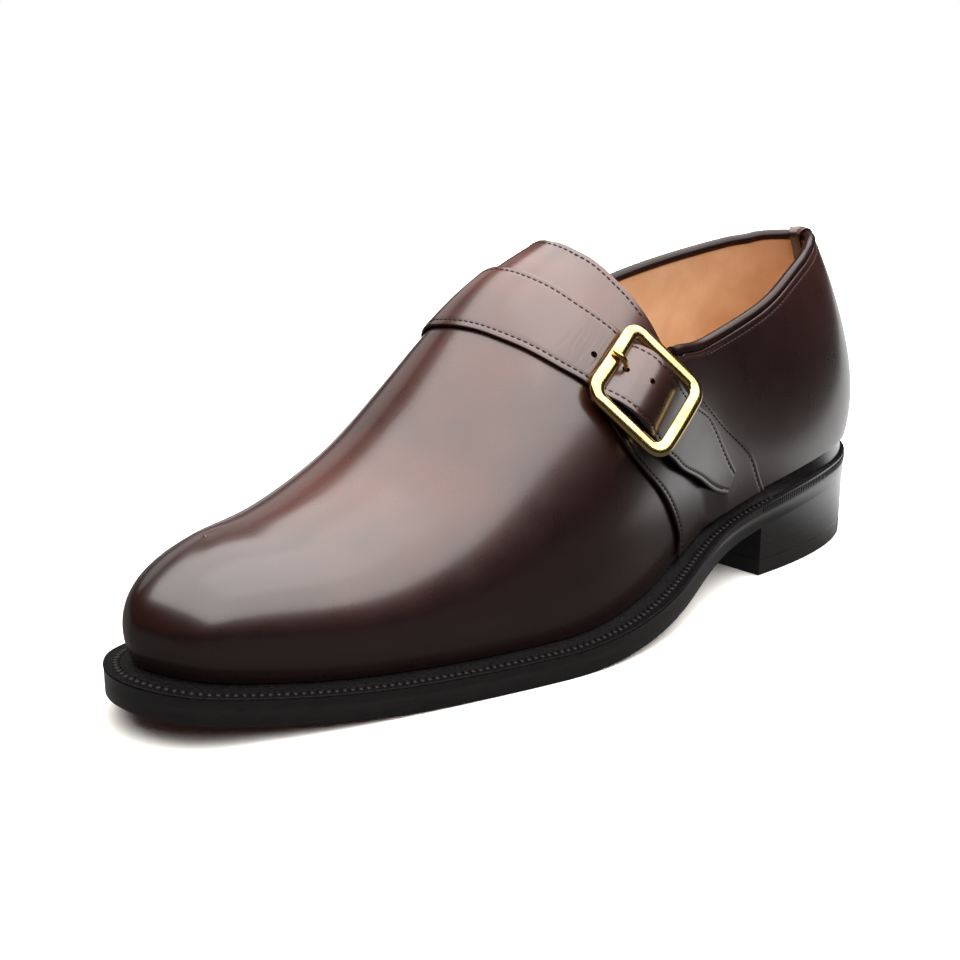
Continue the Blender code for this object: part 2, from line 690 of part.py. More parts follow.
def make_buckle(collection, cutters):
    brass = ((0.8, 0.6, 0.28), 0.15, 1.0)
    centre, down, over, out = buckle_axes()
    wide, thick = BUCKLE_BAR / 2.0, BUCKLE_THICK / 2.0
    flat = 0.65 * wide
    profile = ((wide, BUCKLE_RIM), (flat, thick), (-flat, thick), (-wide, BUCKLE_RIM),
               (-wide, -BUCKLE_RIM), (-flat, -thick), (flat, -thick), (wide, -BUCKLE_RIM))
    half_l = BUCKLE_LENGTH / 2.0 - wide
    half_w = BUCKLE_WIDTH / 2.0 - wide
    straight_l = half_l - BUCKLE_CORNER
    straight_w = half_w - BUCKLE_CORNER
    loop = []
    for quarter, (sx, sy) in enumerate(((1, 1), (-1, 1), (-1, -1), (1, -1))):
        for k in range(5):
            a = math.radians(90.0 * quarter + 22.5 * k)
            ax, ay = math.cos(a), math.sin(a)
            loop.append((sx * straight_l + BUCKLE_CORNER * ax, sy * straight_w + BUCKLE_CORNER * ay, ax, ay))
        loop.append((half_l * ax, half_w * ay, ax, ay))
    sections = [[centre + down * (x + ax * w) + over * (y + ay * w) + out * (h - y * y / BUCKLE_BOW)
                 for w, h in profile] for x, y, ax, ay in loop]
    frame = sweep("buckle", sections, collection, brass)
    bar = [centre + over * y - out * (CENTRE_BAR_BELOW + y * y / BUCKLE_BOW)
           for y in np.linspace(-half_w, half_w, 7)]
    cross = add_object("centre bar", tube("centre bar", bar, CENTRE_BAR_RADIUS, cutters), cutters, brass)
    cross.hide_render = True
    cross.display_type = "WIRE"
    join = frame.modifiers.new("Centre bar", "BOOLEAN")
    join.operation = "UNION"
    join.object = cross

    sections = []
    for x, height, half in PRONG:
        place = centre + down * x + out * height
        sections.append([place + over * (half * math.cos(a)) + out * (PRONG_THICK * math.sin(a))
                         for a in np.linspace(0.0, 2.0 * math.pi, 9)[:-1]])
    sweep("prong", sections, collection, brass, closed=False)


def main():
    clear_scene()
    shoe = new_collection("Monk strap shoe")
    cutters = new_collection("Cutters")
    make_sole(shoe)
    make_heel(shoe)
    make_upper(shoe)
    make_quarters(shoe)
    make_binding(shoe)
    make_back_tab(shoe)
    make_buckle(shoe, cutters)


main()
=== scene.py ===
"""Looks of the monk strap shoe: fine leather pieces, stitching, sole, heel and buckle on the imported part.

The part frame is used throughout: metres in Blender, millimetres in the tables, +Z up, toe to -Y,
buckle side of the foot to +X.
"""

import math

import bpy
import numpy as np
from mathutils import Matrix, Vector


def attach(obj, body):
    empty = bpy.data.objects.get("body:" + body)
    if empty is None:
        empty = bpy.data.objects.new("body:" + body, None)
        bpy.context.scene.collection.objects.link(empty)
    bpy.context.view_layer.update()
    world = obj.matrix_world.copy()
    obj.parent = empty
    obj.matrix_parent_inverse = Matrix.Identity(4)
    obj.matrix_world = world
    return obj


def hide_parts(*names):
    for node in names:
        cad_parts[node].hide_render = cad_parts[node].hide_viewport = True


bl_info = {
    "name": "Monk strap shoe",
    "version": (1, 0, 0),
    "blender": (4, 5, 0),
    "location": "3D View > Sidebar > Shoe",
    "description": "Builds the finished surfaces of a welted monk strap shoe on its packed part",
    "category": "Add Mesh",
}

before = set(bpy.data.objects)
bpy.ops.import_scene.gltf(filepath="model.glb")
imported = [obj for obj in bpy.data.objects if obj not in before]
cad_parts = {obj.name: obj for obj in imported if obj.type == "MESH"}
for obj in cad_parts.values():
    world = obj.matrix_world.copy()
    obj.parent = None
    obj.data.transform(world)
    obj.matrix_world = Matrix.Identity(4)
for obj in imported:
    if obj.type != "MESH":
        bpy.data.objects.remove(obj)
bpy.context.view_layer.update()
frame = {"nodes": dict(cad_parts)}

MM = 0.001

# Sizes shared with the solid part, in millimetres
SOLE_LENGTH = 302.0
HEEL_MIDDLE = 42.0
OUTSOLE_THICK = 5.0
EDGE_FOREPART = 7.9
EDGE_HEEL = 8.6
BREAST_SHARE = 0.272
LIFT_JOINTS = (5.7, 10.6, 15.3)
HEEL_INSET = 0.2
RUBBER_SHARE = 0.075
UNDER = 0.45
WALL = 1.6
PIECE = 1.1
INSOLE_THICK = 3.0
SOCK_CLEAR = 2.6
SOCK_END = 3.4
WELT_UNDER_UPPER = 3.1
BUCKLE_LENGTH = 32.6
BUCKLE_WIDTH = 33.0
BUCKLE_BAR = 4.2
BUCKLE_THICK = 2.5
BUCKLE_CORNER = 4.6
POLISHED = 0.25             # the finished bars' rounded edges stand proud of the solid's bevels
BUCKLE_BOW = 260.0
CENTRE_BAR_RADIUS = 1.15
CENTRE_BAR_BELOW = 1.2
BACK_TAB_WIDTH = 6.5
TAB_OUTSIDE = 1.95
TAB_FOLD = 2.2
TAB_THICK = 0.8
TAB_STATION = 16.5
BINDING_END = 4.64
TOP_LINE_CLEAR = 0.008
QUARTER_REACH = 4.5
STRAP_REACH = 4.34
RAMP_END = 0.60
RAMP_RUN = 0.22

# The last, one row a station from the back of the heel to the toe tip: share of the
# length, half width of the sole, margin to the upper, lean, lower and upper handle
LATERAL = (
    (0.000, 0.0, 2.0, 10.0, 0.34, 0.55),
    (0.035, 20.2, 2.0, 10.0, 0.34, 0.40),
    (0.110, 32.4, 2.0, 4.2, 0.33, 0.28),
    (0.220, 37.0, 3.5, 3.4, 0.36, 0.33),
    (0.340, 38.2, 6.3, 5.2, 0.46, 0.50),
    (0.460, 49.8, 8.2, 5.0, 0.52, 0.56),
    (0.580, 54.2, 8.1, 5.0, 0.54, 0.56),
    (0.700, 47.0, 7.6, 5.0, 0.58, 0.56),
    (0.820, 37.0, 7.4, 5.0, 0.61, 0.59),
    (0.920, 25.6, 7.4, 5.7, 0.65, 0.60),
    (0.975, 15.4, 7.4, 6.4, 0.64, 0.60),
    (1.000, -3.5, 6.8, 6.8, 0.64, 0.60),
)
MEDIAL = (
    (0.000, 0.0, 2.0, 10.0, 0.34, 0.55),
    (0.035, 20.2, 2.0, 10.0, 0.34, 0.40),
    (0.110, 31.0, 2.0, 4.2, 0.33, 0.30),
    (0.220, 33.6, 2.8, 3.4, 0.36, 0.36),
    (0.340, 33.0, 4.2, 5.2, 0.46, 0.52),
    (0.460, 38.0, 5.4, 5.6, 0.52, 0.56),
    (0.580, 47.0, 6.8, 5.0, 0.54, 0.56),
    (0.700, 52.0, 7.4, 5.0, 0.58, 0.56),
    (0.820, 45.5, 7.4, 5.0, 0.61, 0.59),
    (0.920, 31.5, 7.4, 5.7, 0.65, 0.60),
    (0.975, 21.5, 7.4, 6.4, 0.64, 0.60),
    (1.000, 3.5, 6.8, 6.8, 0.64, 0.60),
)
# The line over the top of the last: share, side, height, rise of the upper off the sole
RIDGE = (
    (0.167, 0.0, 133.2, 6.5),
    (0.187, 0.0, 133.0, 6.3),
    (0.203, 0.0, 135.0, 5.5),
    (0.242, 0.0, 136.0, 4.0),
    (0.340, 0.0, 134.0, 2.0),
    (0.460, -2.0, 119.0, 1.0),
    (0.580, -4.5, 101.0, 1.0),
    (0.700, -7.0, 67.0, 1.0),
    (0.802, -8.5, 50.8, 1.0),
    (0.863, -8.5, 47.9, 1.0),
    (0.888, -8.3, 46.5, 1.0),
    (0.895, -8.0, 46.1, 1.0),
)
BOTTOM = (
    (0.00, 22.9),
    (0.21, 19.9),
    (0.30, 15.9),
    (0.42, 8.4),
    (0.54, 2.2),
    (0.62, 0.0),
    (0.70, 0.0),
    (0.76, 0.5),
    (0.87, 2.9),
    (1.00, 8.5),
)
# Top line and tongue edge: station, share up the lateral wall, up the medial wall
COLLAR = (
    (0.00, 0.566, 0.566),
    (0.50, 0.573, 0.574),
    (0.95, 0.579, 0.594),
    (1.50, 0.560, 0.589),
    (1.84, 0.538, 0.5735),
    (2.55, 0.487, 0.5415),
    (3.08, 0.442, 0.520),
    (3.50, 0.411, 0.497),
    (3.90, 0.392, 0.477),
    (4.33, 0.400, 0.469),
    (4.56, 0.420, 0.480),
    (4.76, 0.475, 0.515),
    (4.82, 0.525, 0.545),
    (4.88, 0.570, 0.580),
    (4.95, 0.625, 0.625),
    (5.03, 0.690, 0.690),
    (5.09, 0.755, 0.755),
    (5.15, 0.820, 0.820),
    (5.20, 0.890, 0.890),
    (5.24, 1.000, 1.000),
)
# Strap and medial quarter: upper edge, lower edge (station, around) and lift
STRAP = (
    (3.86, 0.105, 3.98, 0.062, 3.4),
    (3.98, 0.145, 4.25, 0.100, 3.4),
    (4.13, 0.200, 4.55, 0.155, 3.4),
    (4.29, 0.255, 4.85, 0.205, 3.4),
    (4.45, 0.287, 5.02, 0.243, 3.6),
    (4.65, 0.328, 5.21, 0.284, 4.3),
    (4.85, 0.378, 5.38, 0.334, 5.8),
    (4.99, 0.434, 5.51, 0.385, 6.2),
    (5.09, 0.484, 5.62, 0.434, 4.4),
    (5.20, 0.534, 5.73, 0.484, 0.8),
    (5.27, 0.570, 5.80, 0.519, 0.5),
    (5.39, 0.632, 5.93, 0.580, 0.4),
    (5.51, 0.705, 6.05, 0.658, 0.4),
    (5.60, 0.790, 6.15, 0.748, 0.4),
    (5.67, 0.880, 6.22, 0.848, 0.4),
    (5.71, 1.000, 6.27, 1.000, 0.4),
    (5.70, 1.120, 6.24, 1.140, 0.4),
    (5.62, 1.240, 6.14, 1.280, 0.4),
    (5.48, 1.350, 5.98, 1.420, 0.4),
    (5.25, 1.440, 5.75, 1.550, 0.4),
    (4.95, 1.505, 5.48, 1.660, 0.4),
    (4.65, 1.525, 5.20, 1.770, 0.4),
    (4.33, 1.540, 4.95, 1.870, 0.4),
    (3.90, 1.533, 4.76, 1.950, 0.4),
    (3.50, 1.511, 4.62, 1.992, 0.4),
    (3.08, 1.488, 4.00, 1.992, 0.4),
    (2.55, 1.460, 3.30, 1.992, 0.4),
    (1.84, 1.436, 2.40, 1.992, 0.4),
    (1.20, 1.430, 1.60, 1.992, 0.4),
    (0.60, 1.442, 0.80, 1.992, 0.4),
    (0.03, 1.451, 0.03, 1.992, 0.4),
)
QUARTER = (
    (0.03, 0.549, 0.03, 0.006),
    (0.50, 0.555, 0.45, 0.006),
    (0.95, 0.567, 0.90, 0.006),
    (1.50, 0.555, 1.40, 0.006),
    (1.84, 0.532, 1.75, 0.006),
    (2.55, 0.482, 2.30, 0.006),
    (3.08, 0.432, 2.75, 0.006),
    (3.50, 0.402, 3.10, 0.006),
    (3.90, 0.382, 3.42, 0.006),
    (4.33, 0.392, 3.56, 0.006),
    (4.56, 0.410, 3.66, 0.006),
    (4.88, 0.438, 3.74, 0.006),
)
PANEL = (
    (3.37, 0.010, 4.69, 0.010),
    (3.44, 0.045, 4.71, 0.050),
    (3.50, 0.080, 4.80, 0.090),
    (3.62, 0.130, 4.94, 0.140),
    (3.89, 0.190, 5.12, 0.195),
    (4.19, 0.260, 5.32, 0.250),
    (4.48, 0.340, 5.52, 0.320),
    (4.76, 0.425, 5.66, 0.400),
    (4.92, 0.490, 5.70, 0.450),
)
# Middle of the buckle, a point farther down the strap and a point across it:
# side, share of the sole length, height
BUCKLE_MIDDLE = (41.95, 0.49470, 76.05)
BUCKLE_DOWN = (47.65, 0.47297, 67.77)
BUCKLE_ACROSS = (39.80, 0.46183, 82.44)
PRONG = (
    # along, outward, half width, half height
    (-8.3, -1.6, 0.80, 0.70),
    (-9.0, -0.4, 0.90, 0.75),
    (-9.9, 0.8, 0.98, 0.80),
    (-11.0, 1.7, 1.02, 0.80),
    (-12.5, 2.2, 1.05, 0.80),
    (-14.3, 2.3, 1.02, 0.75),
    (-15.6, 2.15, 0.85, 0.62),
    (-16.3, 1.95, 0.45, 0.35),
)
# Holes punched in the strap: row, share across
HOLES = ((7.30, 0.42), (8.42, 0.50), (10.30, 0.59))
HOLE_RADIUS = 1.05
# Soft bends of the vamp: middle across, place along, sweep back to the sides, half reach across,
# half width along, depth
VAMP_CREASES = (
    (-5.0, -216.0, 0.75, 30.0, 9.0, 0.50),
    (-4.0, -232.0, 0.60, 24.0, 8.0, -0.25),
    (-4.0, -196.0, 0.60, 28.0, 8.0, -0.22),
    (6.0, -166.0, 0.25, 24.0, 4.5, 0.10),
    (-8.0, -154.0, 0.20, 26.0, 4.0, 0.09),
)
# Strap creases: row, bend, middle across, reach across, half width in rows, depth
STRAP_CREASES = (
    (9.30, 1.6, 0.60, 0.36, 0.060, 0.035),
    (9.52, -1.2, 0.35, 0.26, 0.045, 0.045),
    (9.70, 1.5, 0.62, 0.30, 0.050, 0.055),
    (9.86, -0.9, 0.40, 0.24, 0.040, 0.050),
    (10.02, 1.8, 0.70, 0.26, 0.040, 0.055),
    (10.14, -1.4, 0.48, 0.22, 0.035, 0.045),
    (10.30, 1.3, 0.34, 0.24, 0.040, 0.050),
    (10.44, -1.7, 0.66, 0.22, 0.035, 0.055),
    (10.60, 1.6, 0.50, 0.28, 0.040, 0.050),
    (10.76, -1.1, 0.72, 0.20, 0.035, 0.045),
    (10.95, 1.4, 0.42, 0.24, 0.045, 0.040),
    (11.18, -1.3, 0.58, 0.26, 0.050, 0.035),
    (11.45, 1.5, 0.66, 0.24, 0.060, 0.030),
)
# Section of the top line's binding: outward, up
BINDING_PROFILE = (
    (1.60, -0.70), (1.88, -0.62), (1.98, 0.10), (1.90, 0.75), (1.60, 1.35), (1.05, 1.80), (0.35, 2.02),
    (-0.40, 2.00), (-1.10, 1.74), (-1.62, 1.25), (-1.90, 0.60), (-1.95, -0.10), (-1.85, -0.75),
    (-1.58, -0.80), (0.0, -0.30),
)
# A quarter of the buckle bar's section, in half widths and half thicknesses
BAR_QUARTER = ((1.0, 0.0), (0.97, 0.26), (0.88, 0.52), (0.73, 0.74), (0.52, 0.89), (0.28, 0.97), (0.0, 1.0))

# Skins of the finished leather pieces: the lining starts under the vamp, and well under it by
# LINING_CLEAR where the ribs meet over the toe, from a station and within a reach round the last
VAMP_THICK = 0.8
LINING_DEPTH = 0.86
LINING_CLEAR = 1.6
MEET_START = 9.6
MEET_RUN = 0.8
MEET_REACH = 0.35
LIFT_SEAM = 0.03
SOLE_TOP = OUTSOLE_THICK + 0.1
# The black edge grows from the forepart's height to the heel's between two shares of the length
EDGE_GROWS = 0.30
EDGE_RUN = 0.15
# Rounded rim of a cut edge and groove of its stitches
RIM_DEPTH = 0.14
RIM_REACH = 0.45
GROOVE_REACH = 0.42
# Distances of the grid lines from an edge, drawn together on rows under the narrow width
EDGE_STEPS = np.array((0.0, 0.45, 1.0, 1.45, 1.8, 2.15, 2.6, 3.4))
NARROW = 14.0
# The vamp's bends start at a station, and their middles are rounded
BENDS_START = 5.4
BENDS_RUN = 0.6
BEND_ROUND = 6.0
# Upper stitch: share of the pitch, width, height; welt stitch: across, share of the pitch, height
STITCH = (0.74, 0.55, 0.42)
WELT_STITCH = (2.4, 0.82, 0.9)
WHEEL_PITCH = 1.15
WHEEL_MARK = (2.8, 0.7, 0.5)
WHEEL_HEIGHT = 1.2
# Points nearer than this, in metres, are one; edges sharper than the angle are rounded
MERGE = 2e-6
SHARP = math.radians(50)

# Camera: place in metres, angles in degrees, lens in millimetres, and its aim in pixels ahead,
# right and down
CAMERA_PLACE = (0.3021, -0.4153, 0.1649)
CAMERA_AZIMUTH = 52.1
CAMERA_ELEVATION = 15.0
CAMERA_LENS = 52.5
CAMERA_AIM = (1298.2, 106.5, 29.0)
LIGHT_COLOUR = (1.0, 0.975, 0.94)
# Lights: name, place, target, size, power
LIGHTS = (
    ("ceiling", (0.50, 0.05, 0.95), (0.50, 0.05, 0.0), (2.5, 2.2), 60.0),
    ("left window", (-1.10, 0.0, 0.55), (0.0, -0.12, 0.05), (1.0, 0.5), 1.0),
    ("ceiling middle", (0.22, -0.02, 0.94), (0.22, -0.02, 0.0), (0.8, 0.6), 1.4),
)


def linear(code):
    """Linear colour of an sRGB hex code."""
    parts = [int(code[k:k + 2], 16) / 255.0 for k in (1, 3, 5)]
    return tuple(c / 12.92 if c <= 0.04045 else ((c + 0.055) / 1.055) ** 2.4 for c in parts)


def spline(knots, values, at, flat=False):
    """Cubic spline through the knots, with free or flat ends."""
    k = np.asarray(knots, float)
    v = np.asarray(values, float)
    n = len(k)
    h = np.diff(k)
    m = np.zeros((n, n))
    r = np.zeros(n)
    m[0, 0] = m[-1, -1] = 1.0
    if flat:
        m[0, :2] = (2.0 * h[0], h[0])
        m[-1, -2:] = (h[-1], 2.0 * h[-1])
        r[0] = 6.0 * (v[1] - v[0]) / h[0]
        r[-1] = -6.0 * (v[-1] - v[-2]) / h[-1]
    for i in range(1, n - 1):
        m[i, i - 1:i + 2] = (h[i - 1], 2.0 * (h[i - 1] + h[i]), h[i])
        r[i] = 6.0 * ((v[i + 1] - v[i]) / h[i] - (v[i] - v[i - 1]) / h[i - 1])
    bend = np.linalg.solve(m, r)
    x = np.asarray(at, float)
    i = np.clip(np.searchsorted(k, x) - 1, 0, n - 2)
    a = (k[i + 1] - x) / h[i]
    b = (x - k[i]) / h[i]
    curve = ((a ** 3 - a) * bend[i] + (b ** 3 - b) * bend[i + 1]) * h[i] ** 2 / 6.0
    return a * v[i] + b * v[i + 1] + curve


def unit(vectors):
    return vectors / np.linalg.norm(vectors, axis=-1, keepdims=True)


def column(table, number):
    return np.array([row[number] for row in table], float)


STATIONS = np.arange(len(LATERAL), dtype=float)
TOE = STATIONS[-1]
TIP_CLEAR = 0.12            # the ribs run together at the toe tip, so normals are read this far behind it


def along(table, number, t, flat=False):
    return spline(STATIONS, column(table, number), t, flat)


def share_at(t):
    return along(LATERAL, 0, t, flat=True)


def station_at(share):
    """Station at a share of the length."""
    t = np.linspace(0.0, TOE, 600)
    return float(np.interp(share, share_at(t), t))


def bottom(t):
    """Height of the outsole's underside."""
    z = spline(column(BOTTOM, 0), column(BOTTOM, 1), share_at(t))
    return np.maximum(z, 0.0)


def edge_top(t):
    """Height of the welt's top edge."""
    heel = np.clip((EDGE_GROWS - share_at(t)) / EDGE_RUN, 0.0, 1.0)
    return bottom(t) + EDGE_FOREPART + (EDGE_HEEL - EDGE_FOREPART) * heel


def feather_height(t):
    return edge_top(t) + along(RIDGE, 3, t)


def sole_edge(t, side, inset=0.0):
    """Point of the sole's outline and its outward direction, in plan."""
    table = LATERAL if side > 0 else MEDIAL
    step = 1e-3

    def plan(s):
        return side * along(table, 1, s), HEEL_MIDDLE - SOLE_LENGTH * share_at(s)

    x, y = plan(t)
    x1, y1 = plan(np.minimum(t + step, TOE))
    x0, y0 = plan(np.maximum(t - step, 0.0))
    dx, dy = x1 - x0, y1 - y0
    size = np.hypot(dx, dy)
    nx, ny = -side * dy / size, side * dx / size
    tip = (np.asarray(t) <= 0.0) | (np.asarray(t) >= TOE)
    nx = np.where(tip, 0.0, nx)
    ny = np.where(tip, np.where(np.asarray(t) <= 0.0, 1.0, -1.0), ny)
    return x - nx * inset, y - ny * inset, nx, ny


def margin(t, side):
    return np.where(np.asarray(side) > 0, along(LATERAL, 2, t), along(MEDIAL, 2, t))


def wall(t, w, side):
    """Bezier rib of the last from the feather line (w 0) to the ridge (w 1)."""
    table = LATERAL if side > 0 else MEDIAL
    fx, fy, nx, ny = sole_edge(t, side, along(table, 2, t))
    fz = feather_height(t)
    rx = along(RIDGE, 1, t)
    ry = HEEL_MIDDLE - SOLE_LENGTH * along(RIDGE, 0, t, flat=True)
    rz = along(RIDGE, 2, t)
    ahead = column(RIDGE, 0)
    place = np.clip(along(RIDGE, 0, t, flat=True), ahead[0], ahead[-1])
    step = 1e-3
    rise = spline(ahead, column(RIDGE, 2), place + step) - spline(ahead, column(RIDGE, 2), place - step)
    slope = -rise / (2.0 * step * SOLE_LENGTH)
    lean, low, top = (along(table, k, t) for k in (3, 4, 5))
    width = np.hypot(fx - rx, fy - ry)
    ux, uy = (fx - rx) / width, (fy - ry) / width
    p0 = np.stack([fx, fy, fz], -1)
    p3 = np.stack([rx, ry, rz], -1)
    p1 = p0 + np.stack([nx * lean, ny * lean, low * (rz - fz)], -1)
    p2 = p3 + (top * width)[..., None] * np.stack([ux, uy, uy * slope], -1)
    w = np.asarray(w)[..., None]
    return ((1 - w) ** 3 * p0 + 3 * (1 - w) ** 2 * w * p1
            + 3 * (1 - w) * w ** 2 * p2 + w ** 3 * p3)


def last(t, around):
    """Point of the last; around runs 0 lateral feather, 1 ridge, 2 medial feather."""
    t, c = np.broadcast_arrays(np.asarray(t, float), np.asarray(around, float))
    lateral = wall(t, np.minimum(c, 1.0), 1)
    medial = wall(t, np.minimum(2.0 - c, 1.0), -1)
    return np.where((c <= 1.0)[..., None], lateral, medial)


def outward(t, around):
    """Unit normal of the last."""
    t, c = np.broadcast_arrays(np.asarray(t, float), np.asarray(around, float))
    step = 2e-3
    t = np.clip(t, step, TOE - TIP_CLEAR)
    c = np.clip(c, step, 2.0 - step)
    forward = last(t + step, c) - last(t - step, c)
    up = last(t, c + step) - last(t, c - step)
    normal = np.cross(up, forward)
    return normal / np.maximum(np.linalg.norm(normal, axis=-1, keepdims=True), 1e-12)


def raised(t, around, lift):
    return last(t, around) + outward(t, around) * np.asarray(lift)[..., None]


def collar(t, side):
    """Share up the wall where the leather ends."""
    t = np.minimum(t, COLLAR[-1][0])
    return spline(column(COLLAR, 0), column(COLLAR, 1 if side > 0 else 2), t)


def place_round(share, side):
    """Place round the last of a share up the wall of one side."""
    return share if side > 0 else 2.0 - share


def top_line(t, side):
    """Place round the last of the top line, for stations with their sides."""
    return np.where(side > 0, collar(t, 1), 2.0 - collar(t, -1))


def deselect():
    for obj in bpy.context.selected_objects:
        obj.select_set(False)


def apply_modifier(obj, kind, **settings):
    """Adds a modifier to the active object and applies it."""
    made = obj.modifiers.new(kind.title(), kind)
    for name, value in settings.items():
        setattr(made, name, value)
    bpy.ops.object.modifier_apply(modifier=made.name)


def sheet(name, points):
    """Grid primitive whose corners are moved on to rows by columns of points, in millimetres."""
    rows, columns = points.shape[:2]
    deselect()
    bpy.ops.mesh.primitive_grid_add(x_subdivisions=columns - 1, y_subdivisions=rows - 1, size=1.0)
    obj = bpy.context.object
    obj.name = name
    obj.data.name = name
    obj.data.vertices.foreach_set("co", (points.reshape(-1, 3) * MM).ravel())
    obj.data.update()
    return obj


def slab(name, top, under, looks, bevel=0.0):
    """Closed piece between two grids of points; its rim takes the second finish."""
    obj = sheet(name, top)
    for finish in looks:
        obj.data.materials.append(finish)
    apply_modifier(obj, "SOLIDIFY", thickness=0.5 * MM, offset=-1.0, material_offset_rim=1)
    both = np.concatenate([top.reshape(-1, 3), under.reshape(-1, 3)]) * MM
    obj.data.vertices.foreach_set("co", both.ravel())
    obj.data.update()
    clean(obj)
    round_edges(obj, bevel)
    return obj


def round_edges(obj, bevel):
    if bevel:
        apply_modifier(obj, "BEVEL", width=bevel * MM, segments=2, limit_method="ANGLE", angle_limit=SHARP,
                       harden_normals=False)


def clean(obj, fill=False, turn=True):
    """Merges doubled points, closes ends if asked, and turns the faces outwards."""
    bpy.ops.object.mode_set(mode="EDIT")
    bpy.ops.mesh.select_all(action="SELECT")
    bpy.ops.mesh.remove_doubles(threshold=MERGE)
    if fill:
        bpy.ops.mesh.fill_holes(sides=0)
        bpy.ops.mesh.select_all(action="SELECT")
    if turn:
        bpy.ops.mesh.normals_make_consistent(inside=False)
    bpy.ops.object.mode_set(mode="OBJECT")


def sweep(name, sections, finish, closed):
    """Solid through a row of closed sections, joined end to end or capped."""
    sections = np.concatenate([sections, sections[:, :1]], axis=1)
    if closed:
        sections = np.concatenate([sections, sections[:1]])
    obj = sheet(name, sections)
    obj.data.materials.append(finish)
    clean(obj, fill=not closed)
    return obj


def dress(obj, slot, *nodes, angle=40.0):
    """Gives a piece its smooth shading and its place in the part."""
    deselect()
    obj.select_set(True)
    bpy.context.view_layer.objects.active = obj
    bpy.ops.object.shade_smooth_by_angle(angle=math.radians(angle))
    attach(obj, "root")
    if nodes:
        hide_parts(*nodes)
    return obj


def add_node(tree, kind, sockets=(), **settings):
    """Adds a node; a socket takes a number, a colour or another node's output."""
    made = tree.nodes.new(kind)
    for name, value in settings.items():
        setattr(made, name, value)
    for name, value in dict(sockets).items():
        if isinstance(value, bpy.types.NodeSocket):
            tree.links.new(value, made.inputs[name])
        else:
            made.inputs[name].default_value = value
    return made


def new_look(name, **sockets):
    """Material with its shader; sockets set what is the same all over the surface."""
    made = bpy.data.materials.new(name)
    made.use_nodes = True
    shader = made.node_tree.nodes["Principled BSDF"]
    for key, value in sockets.items():
        shader.inputs[key.replace("_", " ")].default_value = value
    return made, made.node_tree, shader


def blend(tree, factor, dark, light, start=0.3, end=0.7):
    """Colour that runs from dark to light between two values of the factor."""
    made = add_node(tree, "ShaderNodeValToRGB", {"Fac": factor})
    for element, place, colour in zip(made.color_ramp.elements, (start, end), (dark, light)):
        element.position = place
        element.color = (*colour, 1.0)
    return made.outputs["Color"]


def paint(tree, shader, factor, dark, light, start=0.3, end=0.7):
    tree.links.new(blend(tree, factor, dark, light, start, end), shader.inputs["Base Color"])


def gloss(tree, shader, factor, low, high):
    """Roughness that runs between two values with the factor."""
    made = add_node(tree, "ShaderNodeMapRange", {"Value": factor, "To Min": low, "To Max": high})
    tree.links.new(made.outputs[0], shader.inputs["Roughness"])


def place_of(tree):
    return add_node(tree, "ShaderNodeTexCoord").outputs["Object"]


def axes_of(tree, vector):
    return add_node(tree, "ShaderNodeSeparateXYZ", {"Vector": vector}).outputs


def reckon(tree, operation, first, second):
    return add_node(tree, "ShaderNodeMath", {0: first, 1: second}, operation=operation).outputs[0]


def bump(tree, shader, height, depth):
    """Relief of the given depth in millimetres."""
    made = add_node(tree, "ShaderNodeBump", {"Height": height, "Strength": 1.0, "Distance": depth * MM})
    tree.links.new(made.outputs["Normal"], shader.inputs["Normal"])


def noise(tree, vector, size, detail=2.0, roughness=0.5):
    """Noise whose lumps are about size millimetres across."""
    sockets = {"Vector": vector, "Scale": 1.0 / (size * MM), "Detail": detail, "Roughness": roughness}
    return add_node(tree, "ShaderNodeTexNoise", sockets).outputs["Fac"]


def cells(tree, size):
    """Distance pattern of cells about size millimetres across."""
    sockets = {"Vector": place_of(tree), "Scale": 1.0 / (size * MM)}
    return add_node(tree, "ShaderNodeTexVoronoi", sockets).outputs["Distance"]


def soft_step(tree, value, start, end, most):
    """0 at the start value, the most at the end value, and a soft rise between them."""
    sockets = {"Value": value, "From Min": start, "From Max": end, "To Max": most}
    return add_node(tree, "ShaderNodeMapRange", sockets, interpolation_type="SMOOTHSTEP").outputs[0]


def calf_look(name, light, deep, coat, shine):
    # Box calf, chrome tanned, aniline dyed and hand burnished: a smooth skin with broad soft highlights, a
    # red brown glow in the open areas, a near black burnished toe, a dark low band that is partly burnish and
    # partly painted shade, and painted shade on the steep sides
    made, tree, shader = new_look(name, Coat_Weight=coat, Coat_Roughness=0.16, Specular_IOR_Level=shine)
    place = place_of(tree)
    dyed = blend(tree, noise(tree, place, 30.0, 3.0), deep, light, 0.32, 0.68)
    normal = add_node(tree, "ShaderNodeTexCoord").outputs["Normal"]
    # Darker towards the toe as burnish; darker low down, partly burnish and partly painted shade; darker
    # where the surface turns steep, which is painted shade
    toe = soft_step(tree, axes_of(tree, place)["Y"], -0.165, -0.250, 0.75)
    low = soft_step(tree, axes_of(tree, place)["Z"], 0.042, 0.014, 0.80)
    side = soft_step(tree, axes_of(tree, normal)["Z"], 0.68, 0.20, 0.95)
    burnish_and_shade = reckon(tree, "MAXIMUM", reckon(tree, "MAXIMUM", toe, low), side)
    burnish_shade_colour = (*tints().calf_burnish_and_shade, 1.0)
    dark = add_node(tree, "ShaderNodeMix", {"Factor": burnish_and_shade, 6: dyed, 7: burnish_shade_colour}, data_type="RGBA")
    tree.links.new(dark.outputs[2], shader.inputs["Base Color"])
    gloss(tree, shader, noise(tree, place, 9.0), 0.24, 0.33)
    bump(tree, shader, noise(tree, place, 1.2), 0.005)
    return made


